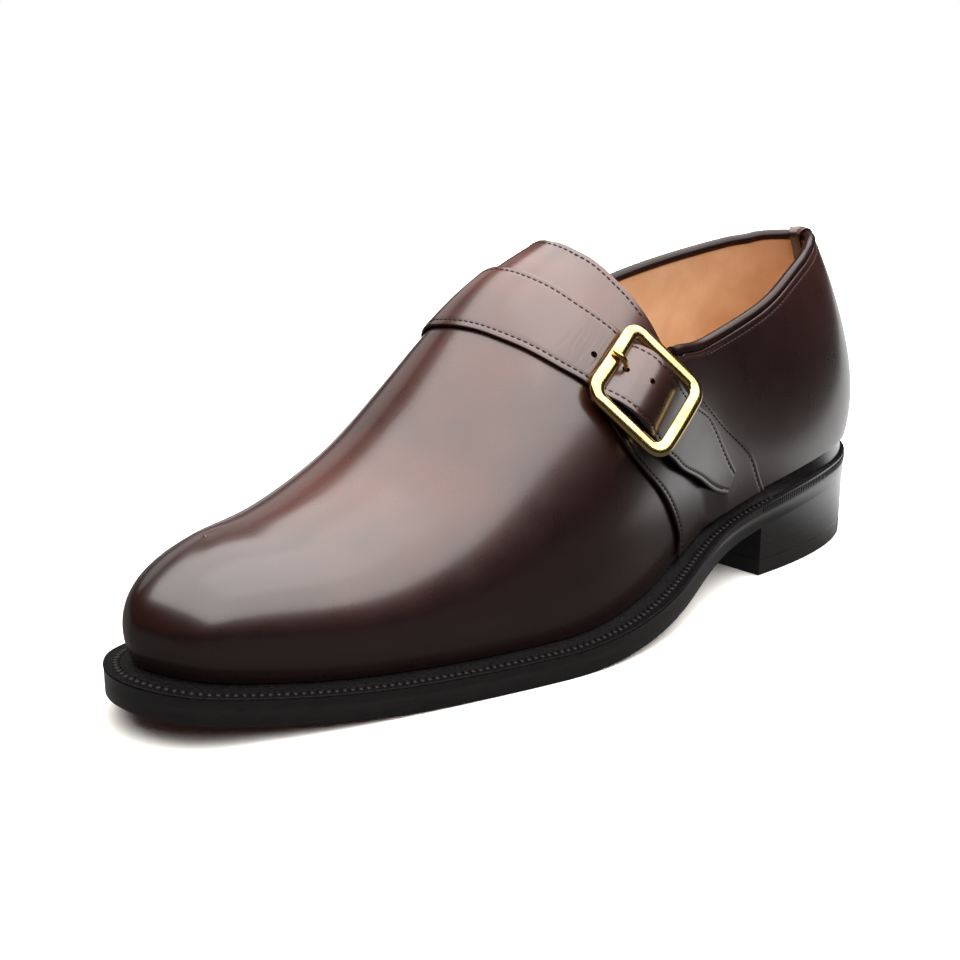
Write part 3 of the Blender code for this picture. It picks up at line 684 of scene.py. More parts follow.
def cut_edge_look():
    # Leather cut edge, inked and waxed: dark, slightly fibrous, duller than the skin
    made, tree, shader = new_look("inked cut edge", Roughness=0.55)
    fibre = noise(tree, place_of(tree), 0.8, 3.0)
    paint(tree, shader, fibre, linear("#120909"), linear("#2a1614"), 0.3, 0.8)
    bump(tree, shader, fibre, 0.05)
    return made


def lining_look():
    # Vegetable tanned lining leather, undyed and lightly waxed: warm tan, satin, with pores
    made, tree, shader = new_look("natural lining leather", IOR=1.48)
    place = place_of(tree)
    paint(tree, shader, noise(tree, place, 14.0, 4.0), tints().lining_deep, tints().lining_light)
    gloss(tree, shader, noise(tree, place, 5.0), 0.45, 0.6)
    bump(tree, shader, cells(tree, 0.9), 0.03)
    return made


def welt_look():
    # Welting leather, dyed black and struck up by hand: matt and crumbly on top
    made, tree, shader = new_look("black welting leather", Specular_IOR_Level=0.12)
    crumb = noise(tree, place_of(tree), 1.1, 4.0, 0.65)
    paint(tree, shader, crumb, linear("#050405"), linear("#131011"), 0.35, 0.75)
    gloss(tree, shader, crumb, 0.65, 0.40)
    bump(tree, shader, crumb, 0.30)
    return made


def edge_look():
    # Sole edge, trimmed flat, inked black and ironed with hot wax: a dark satin band
    # with faint marks along it
    made, tree, shader = new_look("waxed black sole edge", Coat_Weight=0.8, Coat_Roughness=0.16)
    mapping = {"Vector": place_of(tree), "Scale": (1.0, 1.0, 4.0)}
    stretched = add_node(tree, "ShaderNodeMapping", mapping).outputs[0]
    marks = noise(tree, stretched, 7.0, 3.0)
    paint(tree, shader, marks, tints().edge_deep, tints().edge_light, 0.3, 0.75)
    gloss(tree, shader, marks, 0.22, 0.30)
    bump(tree, shader, noise(tree, stretched, 2.0, 3.0), 0.006)
    return made


def outsole_look():
    # Oak bark tanned sole leather, stained red brown and polished: mottled, satin
    made, tree, shader = new_look("stained sole leather", IOR=1.5)
    place = place_of(tree)
    blotch = noise(tree, place, 22.0, 5.0, 0.6)
    paint(tree, shader, blotch, tints().sole_deep, tints().sole_light, 0.3, 0.72)
    gloss(tree, shader, blotch, 0.35, 0.5)
    bump(tree, shader, noise(tree, place, 1.6, 3.0), 0.05)
    return made


def rubber_look():
    # Moulded rubber heel tip: black, matt, with a fine grit
    made, tree, shader = new_look("moulded heel rubber")
    grit = noise(tree, place_of(tree), 0.9)
    paint(tree, shader, grit, linear("#141414"), linear("#1f1f1f"))
    gloss(tree, shader, grit, 0.5, 0.65)
    bump(tree, shader, grit, 0.04)
    return made


def cork_look():
    # Ground cork set in glue: speckled brown, matt and crumbly
    made, tree, shader = new_look("ground cork", Roughness=0.85)
    specks = cells(tree, 1.8)
    paint(tree, shader, specks, linear("#8a5f35"), linear("#4c3017"), 0.1, 0.8)
    bump(tree, shader, specks, 0.2)
    return made


def thread_look(name, dark, light, shine):
    # Waxed linen thread: twisted strands, a soft sheen along the top of each stitch
    made, tree, shader = new_look(name, Roughness=0.5, Specular_IOR_Level=shine)
    strands = noise(tree, place_of(tree), 0.5)
    paint(tree, shader, strands, dark, light)
    bump(tree, shader, strands, 0.06)
    return made


def brass_look():
    # Cast brass, polished and gold plated: bright warm mirror with slight waviness
    made, tree, shader = new_look("gold plated brass", Metallic=1.0)
    place = place_of(tree)
    paint(tree, shader, noise(tree, place, 8.0), tints().brass_deep, tints().brass_light)
    gloss(tree, shader, noise(tree, place, 3.0), 0.10, 0.20)
    bump(tree, shader, noise(tree, place, 2.5), 0.01)
    return made


def paper_look():
    # White paper sweep, burnt out by the lights and by a glow that rises away from the shoe: the camera sees
    # it near white, with the contact shadow left in, while the shoe mirrors a dim table painted dark as
    # painted shade, with patches of painted glow that give it painted reflections
    made, tree, shader = new_look("white paper", Roughness=0.9)
    place = place_of(tree)
    # Painted shade: the paper is dark grey for every ray but the camera's
    paint(tree, shader, noise(tree, place, 60.0), linear("#211f1f"), linear("#252323"), 0.0, 1.0)
    far = add_node(tree, "ShaderNodeVectorMath", {0: place}, operation="LENGTH").outputs["Value"]
    lit = add_node(tree, "ShaderNodeBsdfDiffuse", {"Color": (1.1, 1.08, 1.06, 1.0)})
    glow = add_node(tree, "ShaderNodeEmission", {"Strength": soft_step(tree, far, 0.30, 0.90, 1.0)})
    shown = add_node(tree, "ShaderNodeAddShader", {0: lit.outputs[0], 1: glow.outputs[0]})
    # Painted light: a faint glowing patch beside the shoe and a bright one behind it, seen only in the shoe's
    # reflections
    axes = axes_of(tree, place)
    near = soft_step(tree, axes["X"], 0.13, 0.08, 0.05)
    behind = soft_step(tree, axes["Y"], 0.0, 0.10, 1.0)
    beside = soft_step(tree, axes["X"], 0.24, 0.10, 1.0)
    white = reckon(tree, "ADD", near, reckon(tree, "MULTIPLY", behind, beside))
    painted_reflection_glow = add_node(tree, "ShaderNodeEmission", {"Strength": white})
    dim = add_node(tree, "ShaderNodeAddShader", {0: shader.outputs[0], 1: painted_reflection_glow.outputs[0]})
    for_camera(tree, dim, shown, "Material Output")
    return made


def for_camera(tree, other, shown, output):
    """Ends a tree with one shader for the camera and another for all other rays."""
    seen = add_node(tree, "ShaderNodeLightPath").outputs["Is Camera Ray"]
    mixed = add_node(tree, "ShaderNodeMixShader", {0: seen, 1: other.outputs[0], 2: shown.outputs[0]})
    tree.links.new(mixed.outputs[0], tree.nodes[output].inputs["Surface"])


LOOKS = {}


def look(name):
    """Each finish is made once and shared by its pieces."""
    tint = tints()
    makers = {
        "calf": (calf_look, "polished box calf", tint.calf_light, tint.calf_deep, 0.5, 0.75),
        "binding": (calf_look, "bound calf edge", linear("#2a1310"), linear("#180a08"), 0.0, 0.30),
        "edge": (cut_edge_look,),
        "lining": (lining_look,),
        "welt": (welt_look,),
        "sole edge": (edge_look,),
        "outsole": (outsole_look,),
        "rubber": (rubber_look,),
        "cork": (cork_look,),
        "brass": (brass_look,),
        "thread": (thread_look, "dark waxed thread", tint.thread_deep, tint.thread_light, 0.5),
        "welt thread": (thread_look, "black welt thread", linear("#080707"), linear("#141212"), 0.3),
    }
    if name not in LOOKS:
        maker, *settings = makers[name]
        LOOKS[name] = maker(*settings)
    return LOOKS[name]


def runs(*spans):
    """Numbers through spans of (start, end, count) that share their ends."""
    parts = [np.linspace(*span) for span in spans]
    return np.concatenate([part[:-1] for part in parts[:-1]] + parts[-1:])


STRAP_ROWS = runs((0.0, 9.2, 90), (9.2, 12.0, 96), (12.0, 30.0, 150))


def there_and_back(t):
    """Stations out along the lateral side and back along the medial one, and their sides."""
    return np.concatenate([t, t[-2::-1]]), np.repeat((1.0, -1.0), (len(t), len(t) - 1))


def finer(table, at):
    """Rows set smoothly between the table's rows, at the row numbers given."""
    rows = np.array(table, float)
    knots = np.arange(len(rows))
    return np.stack([spline(knots, rows[:, k], at) for k in range(rows.shape[1])], -1)


def follow_collar(rows, side, reach):
    """Puts each row's upper edge just under the top line on one side, up to a station."""
    free = rows[:, 1]
    there = (rows[:, 0] <= reach) & ((free < 1.0) == (side > 0))
    share = collar(rows[:, 0], side) - TOP_LINE_CLEAR
    rows[:, 1] = np.where(there, place_round(share, side), free)
    return rows


def placed(rows, k):
    """Stations and places round the last at shares k across each row."""
    t = rows[:, 0:1] + (rows[:, 2:3] - rows[:, 0:1]) * k
    c = rows[:, 1:2] + (rows[:, 3:4] - rows[:, 1:2]) * k
    return t, c


def on_last(rows, k, lift=0.0):
    """Points on the last at shares k across each row, between its two edge points."""
    t, c = placed(rows, k)
    return raised(t, c, np.broadcast_to(lift, t.shape))


def row_widths(rows):
    k = np.linspace(0.0, 1.0, 9)
    points = on_last(rows, np.tile(k, (len(rows), 1)))
    return np.linalg.norm(np.diff(points, axis=1), axis=-1).sum(axis=1)


def shares_across(widths, middle):
    """Shares across each row, close together at both edges where the stitches pull the leather in."""
    steps = EDGE_STEPS[None, :] * np.minimum(1.0, widths / NARROW)[:, None] / widths[:, None]
    inner = steps[:, -1:]
    between = inner + (1.0 - 2.0 * inner) * np.linspace(0.0, 1.0, middle + 2)[None, 1:-1]
    return np.concatenate([steps, between, 1.0 - steps[:, ::-1]], axis=1)


def pulled_in(distance, stitch, depth):
    """How far the leather sinks at a distance from its edge: rounded rim and stitch groove."""
    rim = RIM_DEPTH * np.exp(-(distance / RIM_REACH) ** 2)
    return rim + depth * np.exp(-((distance - stitch) / GROOVE_REACH) ** 2)


def skin(name, rows, k, under, dip, bevel, turned=True):
    """Leather piece on the last, from a height under it to its thickness above, less a dip."""
    top = on_last(rows, k, under + PIECE - dip)
    low = on_last(rows, k, under)
    if turned:
        top, low = top[:, ::-1], low[:, ::-1]
    return slab(name, top, low, (look("calf"), look("edge")), bevel)


def walk(points, pitch):
    """Row numbers of even places, about a pitch apart, along a row of points."""
    run = np.concatenate([[0.0], np.cumsum(np.linalg.norm(np.diff(points, axis=0), axis=-1))])
    count = max(1, int(round(run[-1] / pitch)))
    return np.interp(run[-1] / count * (np.arange(count) + 0.5), run, np.arange(len(points)))


def at_rows(values, rows):
    knots = np.arange(len(values))
    return np.stack([np.interp(rows, knots, values[:, k]) for k in range(values.shape[1])], -1)


def sew(name, points, normals, pitch, size, finish, slot, turned=False):
    """Row of stitches along points; size is (length, width, height) of one stitch."""
    places = walk(points, pitch)
    centre = at_rows(points, places)
    ahead = unit(at_rows(points, places + 0.3) - at_rows(points, places - 0.3))
    up = at_rows(normals, places)
    up = unit(up - ahead * np.sum(up * ahead, -1, keepdims=True))
    side = np.cross(up, ahead)
    if turned:
        ahead, side = side, ahead
    deselect()
    bpy.ops.mesh.primitive_uv_sphere_add(segments=6, ring_count=5, radius=0.5)
    obj = bpy.context.object
    obj.name = name
    one = np.array([v.co for v in obj.data.vertices])
    faces = [list(p.vertices) for p in obj.data.polygons]
    corners = centre[:, None, :] + sum(one[None, :, k:k + 1] * way[:, None, :] * span
                                       for k, way, span in zip((2, 0, 1), (ahead, side, up), size))
    all_faces = [[i + k * len(one) for i in face] for k in range(len(places)) for face in faces]
    mesh = bpy.data.meshes.new(name)
    mesh.from_pydata((corners.reshape(-1, 3) * MM).tolist(), [], all_faces)
    mesh.materials.append(finish)
    obj.data = mesh
    clean(obj)
    return dress(obj, slot, angle=70.0)


def sew_upper(name, points, normals):
    pitch = sizes().stitch_pitch / MM
    share, width, height = STITCH
    return sew(name, points, normals, pitch, (pitch * share, width, height), look("thread"), "calf")


def edge_stitches(name, rows, first, inset, lift):
    """Stitches beside the first or second edge of a piece given by rows."""
    k = (inset / row_widths(rows))[:, None]
    k = k if first else 1.0 - k
    t, c = placed(rows, k)
    height = np.broadcast_to(lift, len(rows))[:, None]
    return sew_upper(name, raised(t, c, height)[:, 0], outward(t, c)[:, 0])


def upper_grid(stations, shares, lift, side):
    """Grid up one wall of the last, from the feather line to the top line."""
    around = place_round(shares[None, :] * collar(stations, side)[:, None], side)
    t = np.broadcast_to(stations[:, None], around.shape)
    return raised(t, around, lift(t, around))


def shell(name, stations, shares, lift, thickness, looks, bevel=0.0):
    """Leather over both walls of the last: an open sheet given its wall inwards."""
    walls = [upper_grid(stations, shares, lift, side) for side in (1, -1)]
    for end in (0, -1):
        walls[0][end] = walls[1][end] = (walls[0][end] + walls[1][end]) / 2.0
    lateral = sheet(name, walls[0])
    medial = sheet(name + " medial", walls[1][:, ::-1])
    deselect()
    lateral.select_set(True)
    medial.select_set(True)
    bpy.context.view_layer.objects.active = lateral
    bpy.ops.object.join()
    clean(lateral, turn=False)
    for finish in looks:
        lateral.data.materials.append(finish)
    apply_modifier(lateral, "SOLIDIFY", thickness=thickness * MM, offset=-1.0, material_offset_rim=1)
    round_edges(lateral, bevel)
    return lateral


def up_shares(count, end):
    """Shares up a wall, closer together at the top edge."""
    k = np.linspace(0.0, 1.0, count)
    rim = 1.0 - end * np.array((1.0, 0.75, 0.55, 0.4, 0.25, 0.1, 0.0))
    return np.concatenate([k[:-1] * (1.0 - end), rim])


def lining_lift(t, around):
    """The lining lies inside the vamp, and well clear of it where the ribs meet over the toe."""
    toe = np.clip((t - MEET_START) / MEET_RUN, 0.0, 1.0)
    return -LINING_DEPTH - LINING_CLEAR * toe * np.exp(-((around - 1.0) / MEET_REACH) ** 2)


def vamp_relief(t, around):
    """Soft bends laid over the vamp, behind the toe puff and across the ball of the foot."""
    point = last(t, around)
    x, y = point[..., 0], point[..., 1]
    depth = np.zeros_like(x)
    for middle, place, sweep_back, reach, width, deep in VAMP_CREASES:
        off = y - place - sweep_back * (np.hypot(x - middle, BEND_ROUND) - BEND_ROUND)
        depth = depth + deep * np.exp(-(off / width) ** 2) * np.exp(-((x - middle) / reach) ** 2)
    return -sizes().crease_depth * depth * np.clip((t - BENDS_START) / BENDS_RUN, 0.0, 1.0)


def strap_creases(row, k):
    """Depth of the strap's creases at a row number and a share across it."""
    depth = np.zeros_like(k)
    for place, bend, middle, reach, width, deep in STRAP_CREASES:
        off = row - place - bend * (k - 0.5) ** 2
        depth = depth + deep * np.exp(-(off / width) ** 2) * np.exp(-((k - middle) / reach) ** 2)
    return sizes().crease_depth * depth


def panel_lift(k):
    return UNDER + (UNDER + PIECE) * np.clip((RAMP_END - k) / RAMP_RUN, 0.0, 1.0)


def punch(strap, number, share):
    """Round hole through the strap, square to its surface."""
    row = finer(STRAP, np.array([number]))
    t, c = placed(row, np.array([[share]]))
    place = raised(t, c, row[:, 4:5])[0, 0]
    turn = Vector(outward(t, c)[0, 0]).to_track_quat("Z", "Y").to_euler()
    deselect()
    bpy.ops.mesh.primitive_cylinder_add(vertices=20, radius=HOLE_RADIUS * MM, depth=6.0 * MM,
                                        location=place * MM, rotation=turn)
    cutter = bpy.context.object
    bpy.context.view_layer.objects.active = strap
    apply_modifier(strap, "BOOLEAN", operation="DIFFERENCE", object=cutter)
    bpy.data.objects.remove(cutter, do_unlink=True)


def plan_grid(stations, across, inset, height):
    """Grid over the sole's plan; the inset is one number, or a row for each side."""
    lateral, medial = np.broadcast_to(inset, (2, len(stations)))
    xl, yl, _, _ = sole_edge(stations, 1, lateral)
    xm, ym, _, _ = sole_edge(stations, -1, medial)
    k = np.linspace(0.0, 1.0, across + 1)
    x = xm[:, None] + (xl - xm)[:, None] * k
    y = ym[:, None] + (yl - ym)[:, None] * k
    return np.stack([x, y, np.broadcast_to(np.reshape(height, (-1, 1)), x.shape)], -1)


def plan_slab(name, stations, across, inset, low, high, looks, bevel):
    top = plan_grid(stations, across, inset, high)
    under = plan_grid(stations, across, inset, low)
    return slab(name, top[:, ::-1], under[:, ::-1], looks, bevel)


def ring(t, side, inset, z):
    """Points round the sole's outline at an inset and a height, and their outward directions."""
    inset = np.broadcast_to(inset, t.shape)
    both = [np.array(sole_edge(t, d, inset)) for d in (1, -1)]
    x, y, nx, ny = np.where(side > 0, both[0], both[1])
    return np.stack([x, y, z], -1), np.stack([nx, ny, np.zeros_like(nx)], -1)


def buckle_axes():
    """Middle of the buckle and its directions: down the strap, across it, outward."""
    places = [np.array((side, HEEL_MIDDLE - SOLE_LENGTH * share, height))
              for side, share, height in (BUCKLE_MIDDLE, BUCKLE_DOWN, BUCKLE_ACROSS)]
    down = unit(places[1] - places[0])
    out = unit(np.cross(down, places[2] - places[0]))
    return places[0], down, np.cross(out, down), out


def length(name, description, start, low, high):
    """Length property, given in millimetres."""
    return bpy.props.FloatProperty(name=name, description=description, subtype="DISTANCE", unit="LENGTH",
                                   default=start * MM, min=low * MM, max=high * MM)


def shade(name, description, code):
    """Colour property that starts at an sRGB hex code."""
    return bpy.props.FloatVectorProperty(name=name, description=description, subtype="COLOR", size=3,
                                         default=linear(code), min=0.0, max=1.0)


class ShoeSizes(bpy.types.PropertyGroup):
    stitch_pitch: length("Stitch pitch", "From one upper stitch to the next", 2.05, 1.0, 5.0)
    stitch_inset: length("Stitch inset", "From a leather edge to its row of stitches", 1.8, 1.0, 4.0)
    welt_pitch: length("Welt stitch pitch", "From one welt stitch to the next", 2.2, 1.5, 6.0)
    crease_depth: bpy.props.FloatProperty(
        name="Crease depth", description="Depth of the creases in vamp and strap, as a share of the usual",
        default=1.0, min=0.0, max=2.0, subtype="FACTOR")


class ShoeColours(bpy.types.PropertyGroup):
    calf_light: shade("Calf light", "Open areas of the polished calf", "#5a2b22")
    calf_deep: shade("Calf deep", "Cloudy darker areas of the polished calf", "#391914")
    # The burnished colour also paints shade on the steep sides and low down on the calf
    calf_burnish_and_shade: shade("Calf burnish and painted shade", "Toe, feather line and steep sides of the calf", "#180908")
    lining_deep: shade("Lining deep", "Darker areas of the lining leather", "#deb48c")
    lining_light: shade("Lining light", "Lighter areas of the lining leather", "#eccaa6")
    sole_deep: shade("Sole deep", "Darker areas of the stained outsole", "#5a2a16")
    sole_light: shade("Sole light", "Lighter areas of the stained outsole", "#7d3f22")
    edge_deep: shade("Sole edge deep", "Darker marks on the waxed edge", "#0b0a0a")
    edge_light: shade("Sole edge light", "Lighter marks on the waxed edge", "#161414")
    brass_deep: shade("Brass deep", "Darker areas of the buckle", "#dcb56c")
    brass_light: shade("Brass light", "Lighter areas of the buckle", "#ecd092")
    thread_deep: shade("Thread deep", "Hollows of the upper's thread", "#080404")
    thread_light: shade("Thread light", "Strands of the upper's thread", "#160c0b")


def sizes():
    return bpy.context.scene.shoe_sizes


def tints():
    return bpy.context.scene.shoe_colours


class SHOE_OT_upper(bpy.types.Operator):
    """Vamp and tongue in calf, with the lining inside them"""
    bl_idname = "shoe.upper"
    bl_label = "Upper and lining"

    def execute(self, context):
        stations = runs((0.0, 4.3, 24), (4.3, 5.24, 46), (5.24, 10.6, 130), (10.6, TOE, 16))
        vamp = shell("vamp_and_tongue", stations, up_shares(34, 0.06), vamp_relief, VAMP_THICK,
                     (look("calf"), look("edge")), 0.2)
        dress(vamp, "calf", "upper")
        stations = runs((0.0, 4.3, 44), (4.3, 5.24, 26), (5.24, TOE, 40))
        inside = shell("lining", stations, up_shares(24, 0.06), lining_lift, WALL - LINING_DEPTH,
                       (look("lining"), look("lining")))
        dress(inside, "sock_leather", "upper")
        t, side = there_and_back(np.linspace(4.86, 5.24, 40))
        c = top_line(t, side)
        edge = last(t, c)
        toe = unit(last(t + 0.02, c) - edge)
        normal = outward(t, c)
        inward = np.cross(unit(np.gradient(edge, axis=0)), normal)
        inward = inward * np.sign(np.sum(inward * toe, -1, keepdims=True))
        sew_upper("tongue_stitches", edge + inward * sizes().stitch_inset / MM + normal * 0.05, normal)
        return {"FINISHED"}


class SHOE_OT_quarters(bpy.types.Operator):
    """Lateral quarter and the panel that carries the buckle, with their stitching"""
    bl_idname = "shoe.quarters"
    bl_label = "Quarter and buckle panel"

    def execute(self, context):
        inset = sizes().stitch_inset / MM
        rows = follow_collar(finer(QUARTER, np.linspace(0.0, len(QUARTER) - 1.0, 121)), 1, QUARTER_REACH)
        widths = row_widths(rows)
        k = shares_across(widths, 22)
        near = k * widths[:, None]
        dip = pulled_in(near, inset, 0.12) * (near < 6.0)
        dress(skin("lateral_quarter_skin", rows, k, UNDER, dip, 0.15), "calf", "lateral_quarter")
        edge_stitches("top_line_stitches", rows[rows[:, 0] < 4.2], True, inset + 0.5, UNDER + PIECE - 0.05)

        rows = finer(PANEL, np.linspace(0.0, len(PANEL) - 1.0, 97))
        widths = row_widths(rows)
        k = shares_across(widths, 34)
        dip = pulled_in(np.minimum(k, 1.0 - k) * widths[:, None], inset, 0.16)
        dress(skin("buckle_panel_skin", rows, k, panel_lift(k), dip, 0.2), "calf", "buckle_panel")
        front = UNDER + PIECE - 0.08
        edge_stitches("panel_rear_stitches", rows, True, inset, front + UNDER + PIECE)
        edge_stitches("panel_front_stitches", rows, False, inset, front)
        return {"FINISHED"}


class SHOE_OT_strap(bpy.types.Operator):
    """Strap that runs into the medial quarter, with its creases, holes and stitching"""
    bl_idname = "shoe.strap"
    bl_label = "Strap and medial quarter"

    def execute(self, context):
        inset = sizes().stitch_inset / MM
        rows = finer(STRAP, STRAP_ROWS)
        rows[:, 4] = np.maximum(rows[:, 4], UNDER)
        rows = follow_collar(rows, -1, STRAP_REACH)
        widths = row_widths(rows)
        k = shares_across(widths, 26)
        dip = pulled_in(np.minimum(k, 1.0 - k) * widths[:, None], inset, 0.18)
        dip = dip + strap_creases(STRAP_ROWS[:, None], k)
        strap = skin("strap_and_medial_skin", rows, k, rows[:, 4:5], dip, 0.2, turned=False)
        for number, share in HOLES:
            punch(strap, number, share)
        dress(strap, "calf", "strap_and_medial_quarter")
        level = rows[:, 4] + PIECE - 0.1
        rear = STRAP_ROWS > 0.35
        edge_stitches("strap_rear_stitches", rows[rear], True, inset, level[rear])
        front = rear & (rows[:, 3] < 1.985)
        edge_stitches("strap_front_stitches", rows[front], False, inset, level[front])
        return {"FINISHED"}


class SHOE_OT_binding(bpy.types.Operator):
    """Rolled binding along the top line and the back tab over it"""
    bl_idname = "shoe.binding"
    bl_label = "Binding and back tab"

    def execute(self, context):
        t, side = there_and_back(np.linspace(BINDING_END, 0.0, 130))
        share = top_line(t, side)
        base = last(t, share)
        normal = outward(t, share)
        up = unit(last(t, share + 0.01 * side) - last(t, share - 0.01 * side))
        sections = np.stack([base + normal * n + up * (UNDER + u - 0.35) for n, u in BINDING_PROFILE], axis=1)
        obj = sweep("top_line_binding", sections, look("binding"), closed=False)
        dress(obj, "calf", "collar_binding")

        reach = BACK_TAB_WIDTH / 2.0 / TAB_STATION
        columns = np.array([self.tab_column(abs(k) * reach, 1 if k > 0 else -1)
                            for k in np.linspace(-1.0, 1.0, 9)])
        low, out = columns.transpose(1, 2, 0, 3)[:, :, ::-1]
        obj = slab("back_tab_skin", low + out * TAB_THICK, low, (look("calf"), look("edge")), 0.2)
        dress(obj, "calf", "back_tab")
        return {"FINISHED"}

    def tab_column(self, t, side):
        """Line up the outside, over the top line and down the inside, with its outward directions."""
        top = float(collar(0.0, 1))
        crown = last(t, place_round(top, side))
        normal = outward(t, place_round(top, side))
        up = unit(crown - last(t, place_round(top - 0.01, side)))
        turn = np.radians(np.linspace(10.0, 170.0, 13))[:, None]
        over = normal * np.cos(turn) + up * np.sin(turn)
        behind = place_round(top - np.linspace(0.17, 0.02, 10), side)
        inside = place_round(top - np.linspace(0.02, 0.11, 6), side)
        out = np.concatenate([outward(t, behind), over, -outward(t, inside)])
        away = np.repeat((TAB_OUTSIDE, TAB_FOLD, WALL + 0.8), (len(behind), len(over), len(inside)))
        fold = np.tile(crown - normal * 0.1 + up * UNDER, (len(over), 1))
        return np.concatenate([last(t, behind), fold, last(t, inside)]) + out * away[:, None], out


class SHOE_OT_sole(bpy.types.Operator):
    """Outsole with its black edge, the welt round it and its stitches"""
    bl_idname = "shoe.sole"
    bl_label = "Sole and welt"

    def execute(self, context):
        stations = runs((0.0, 1.0, 24), (1.0, 9.5, 110), (9.5, TOE, 44))
        low = bottom(stations)
        obj = plan_slab("outsole_leather", stations, 14, 0.0, low, low + SOLE_TOP,
                        (look("outsole"), look("sole edge")), 0.45)
        dress(obj, "outsole_leather", "outsole")

        t = np.concatenate([stations[:-1], stations[:0:-1]])
        side = np.repeat((1.0, -1.0), len(stations) - 1)
        m = margin(t, side)
        low = bottom(t) + SOLE_TOP
        top = edge_top(t)
        seat = feather_height(t) - 0.3
        reach = np.maximum(m, 2.0)
        profile = ((0.0, low), (0.0, top - 1.0), (-0.12, top - 0.55), (0.05, top - 0.12), (0.45, top),
                   (0.95, top - 0.22), (0.28 * reach, top - 0.26), (0.45 * reach, top - 0.50),
                   (0.62 * reach, top - 0.30), (0.85 * reach, top + 0.3 * (seat - top)),
                   (m + 0.4, seat), (m + WELT_UNDER_UPPER, seat), (m + WELT_UNDER_UPPER, low))
        sections = np.stack([ring(t, side, inset, z)[0] for inset, z in profile], axis=1)
        obj = sweep("welt_leather", sections, look("welt"), closed=True)
        obj.data.materials.append(look("sole edge"))
        for face in obj.data.polygons:
            face.material_index = 1 if face.normal.z < 0.35 else 0
        dress(obj, "black_edge", "welt")

        t, side = there_and_back(np.linspace(station_at(BREAST_SHARE) - 0.2, TOE, 500))
        points, _ = ring(t, side, 0.45 * margin(t, side), edge_top(t) - 0.38)
        upright = np.tile((0.0, 0.0, 1.0), (len(t), 1))
        pitch = sizes().welt_pitch / MM
        thread, share, height = WELT_STITCH
        sew("welt_stitches", points, upright, pitch, (thread, pitch * share, height), look("welt thread"),
            "black_edge", turned=True)
        return {"FINISHED"}


class SHOE_OT_heel(bpy.types.Operator):
    """Stacked leather heel with its top piece and rubber tip"""
    bl_idname = "shoe.heel"
    bl_label = "Heel"

    def execute(self, context):
        breast = station_at(BREAST_SHARE)
        split = station_at(RUBBER_SHARE)
        whole = runs((0.0, 1.0, 24), (1.0, breast, 26))
        rubber = (look("rubber"), look("rubber"))
        leather = (look("outsole"), look("sole edge"))
        black = (look("sole edge"), look("sole edge"))
        first = LIFT_JOINTS[0]
        roofs = (*LIFT_JOINTS[1:], bottom(whole) - LIFT_SEAM)
        pieces = [("rubber_tip", "heel_rubber_tip", "black_rubber", np.linspace(0.0, split, 22),
                   0.0, first, rubber, 0.25),
                  ("top_piece", "heel_top_piece", "heel_leather", np.linspace(split + 0.01, breast, 26),
                   0.0, first, leather, 0.2)]
        pieces += [("lift_%d" % n, "heel_lift_%d" % n, "heel_leather", whole,
                    low + LIFT_SEAM, high, black, 0.08)
                   for n, (low, high) in enumerate(zip(LIFT_JOINTS, roofs), 1)]
        for name, node, slot, stations, low, high, looks, bevel in pieces:
            obj = plan_slab(name, stations, 8, HEEL_INSET, low, high, looks, bevel)
            dress(obj, slot, node, angle=20.0)

        t, side = there_and_back(np.linspace(breast, 0.0, 200))
        points, normals = ring(t, side, 0.0, bottom(t) + OUTSOLE_THICK + WHEEL_HEIGHT)
        sew("wheel_marks", points, normals, WHEEL_PITCH, WHEEL_MARK, look("sole edge"), "black_edge",
            turned=True)
        return {"FINISHED"}


class SHOE_OT_inside(bpy.types.Operator):
    """Insole, sock and filler"""
    bl_idname = "shoe.inside"
    bl_label = "Insole and sock"

    def execute(self, context):
        nodes = frame["nodes"]
        for name, kind in (("insole", "lining"), ("filler", "cork")):
            nodes[name].data.materials.clear()
            nodes[name].data.materials.append(look(kind))
        t = np.linspace(0.0, SOCK_END, 60)
        inset = np.array([margin(t, 1), margin(t, -1)]) + WALL + SOCK_CLEAR
        low = feather_height(t) + INSOLE_THICK + 0.05
        obj = plan_slab("sock", t, 12, inset, low, low + 1.15, (look("lining"), look("lining")), 0.3)
        dress(obj, "sock_leather", "heel_sock")
        return {"FINISHED"}


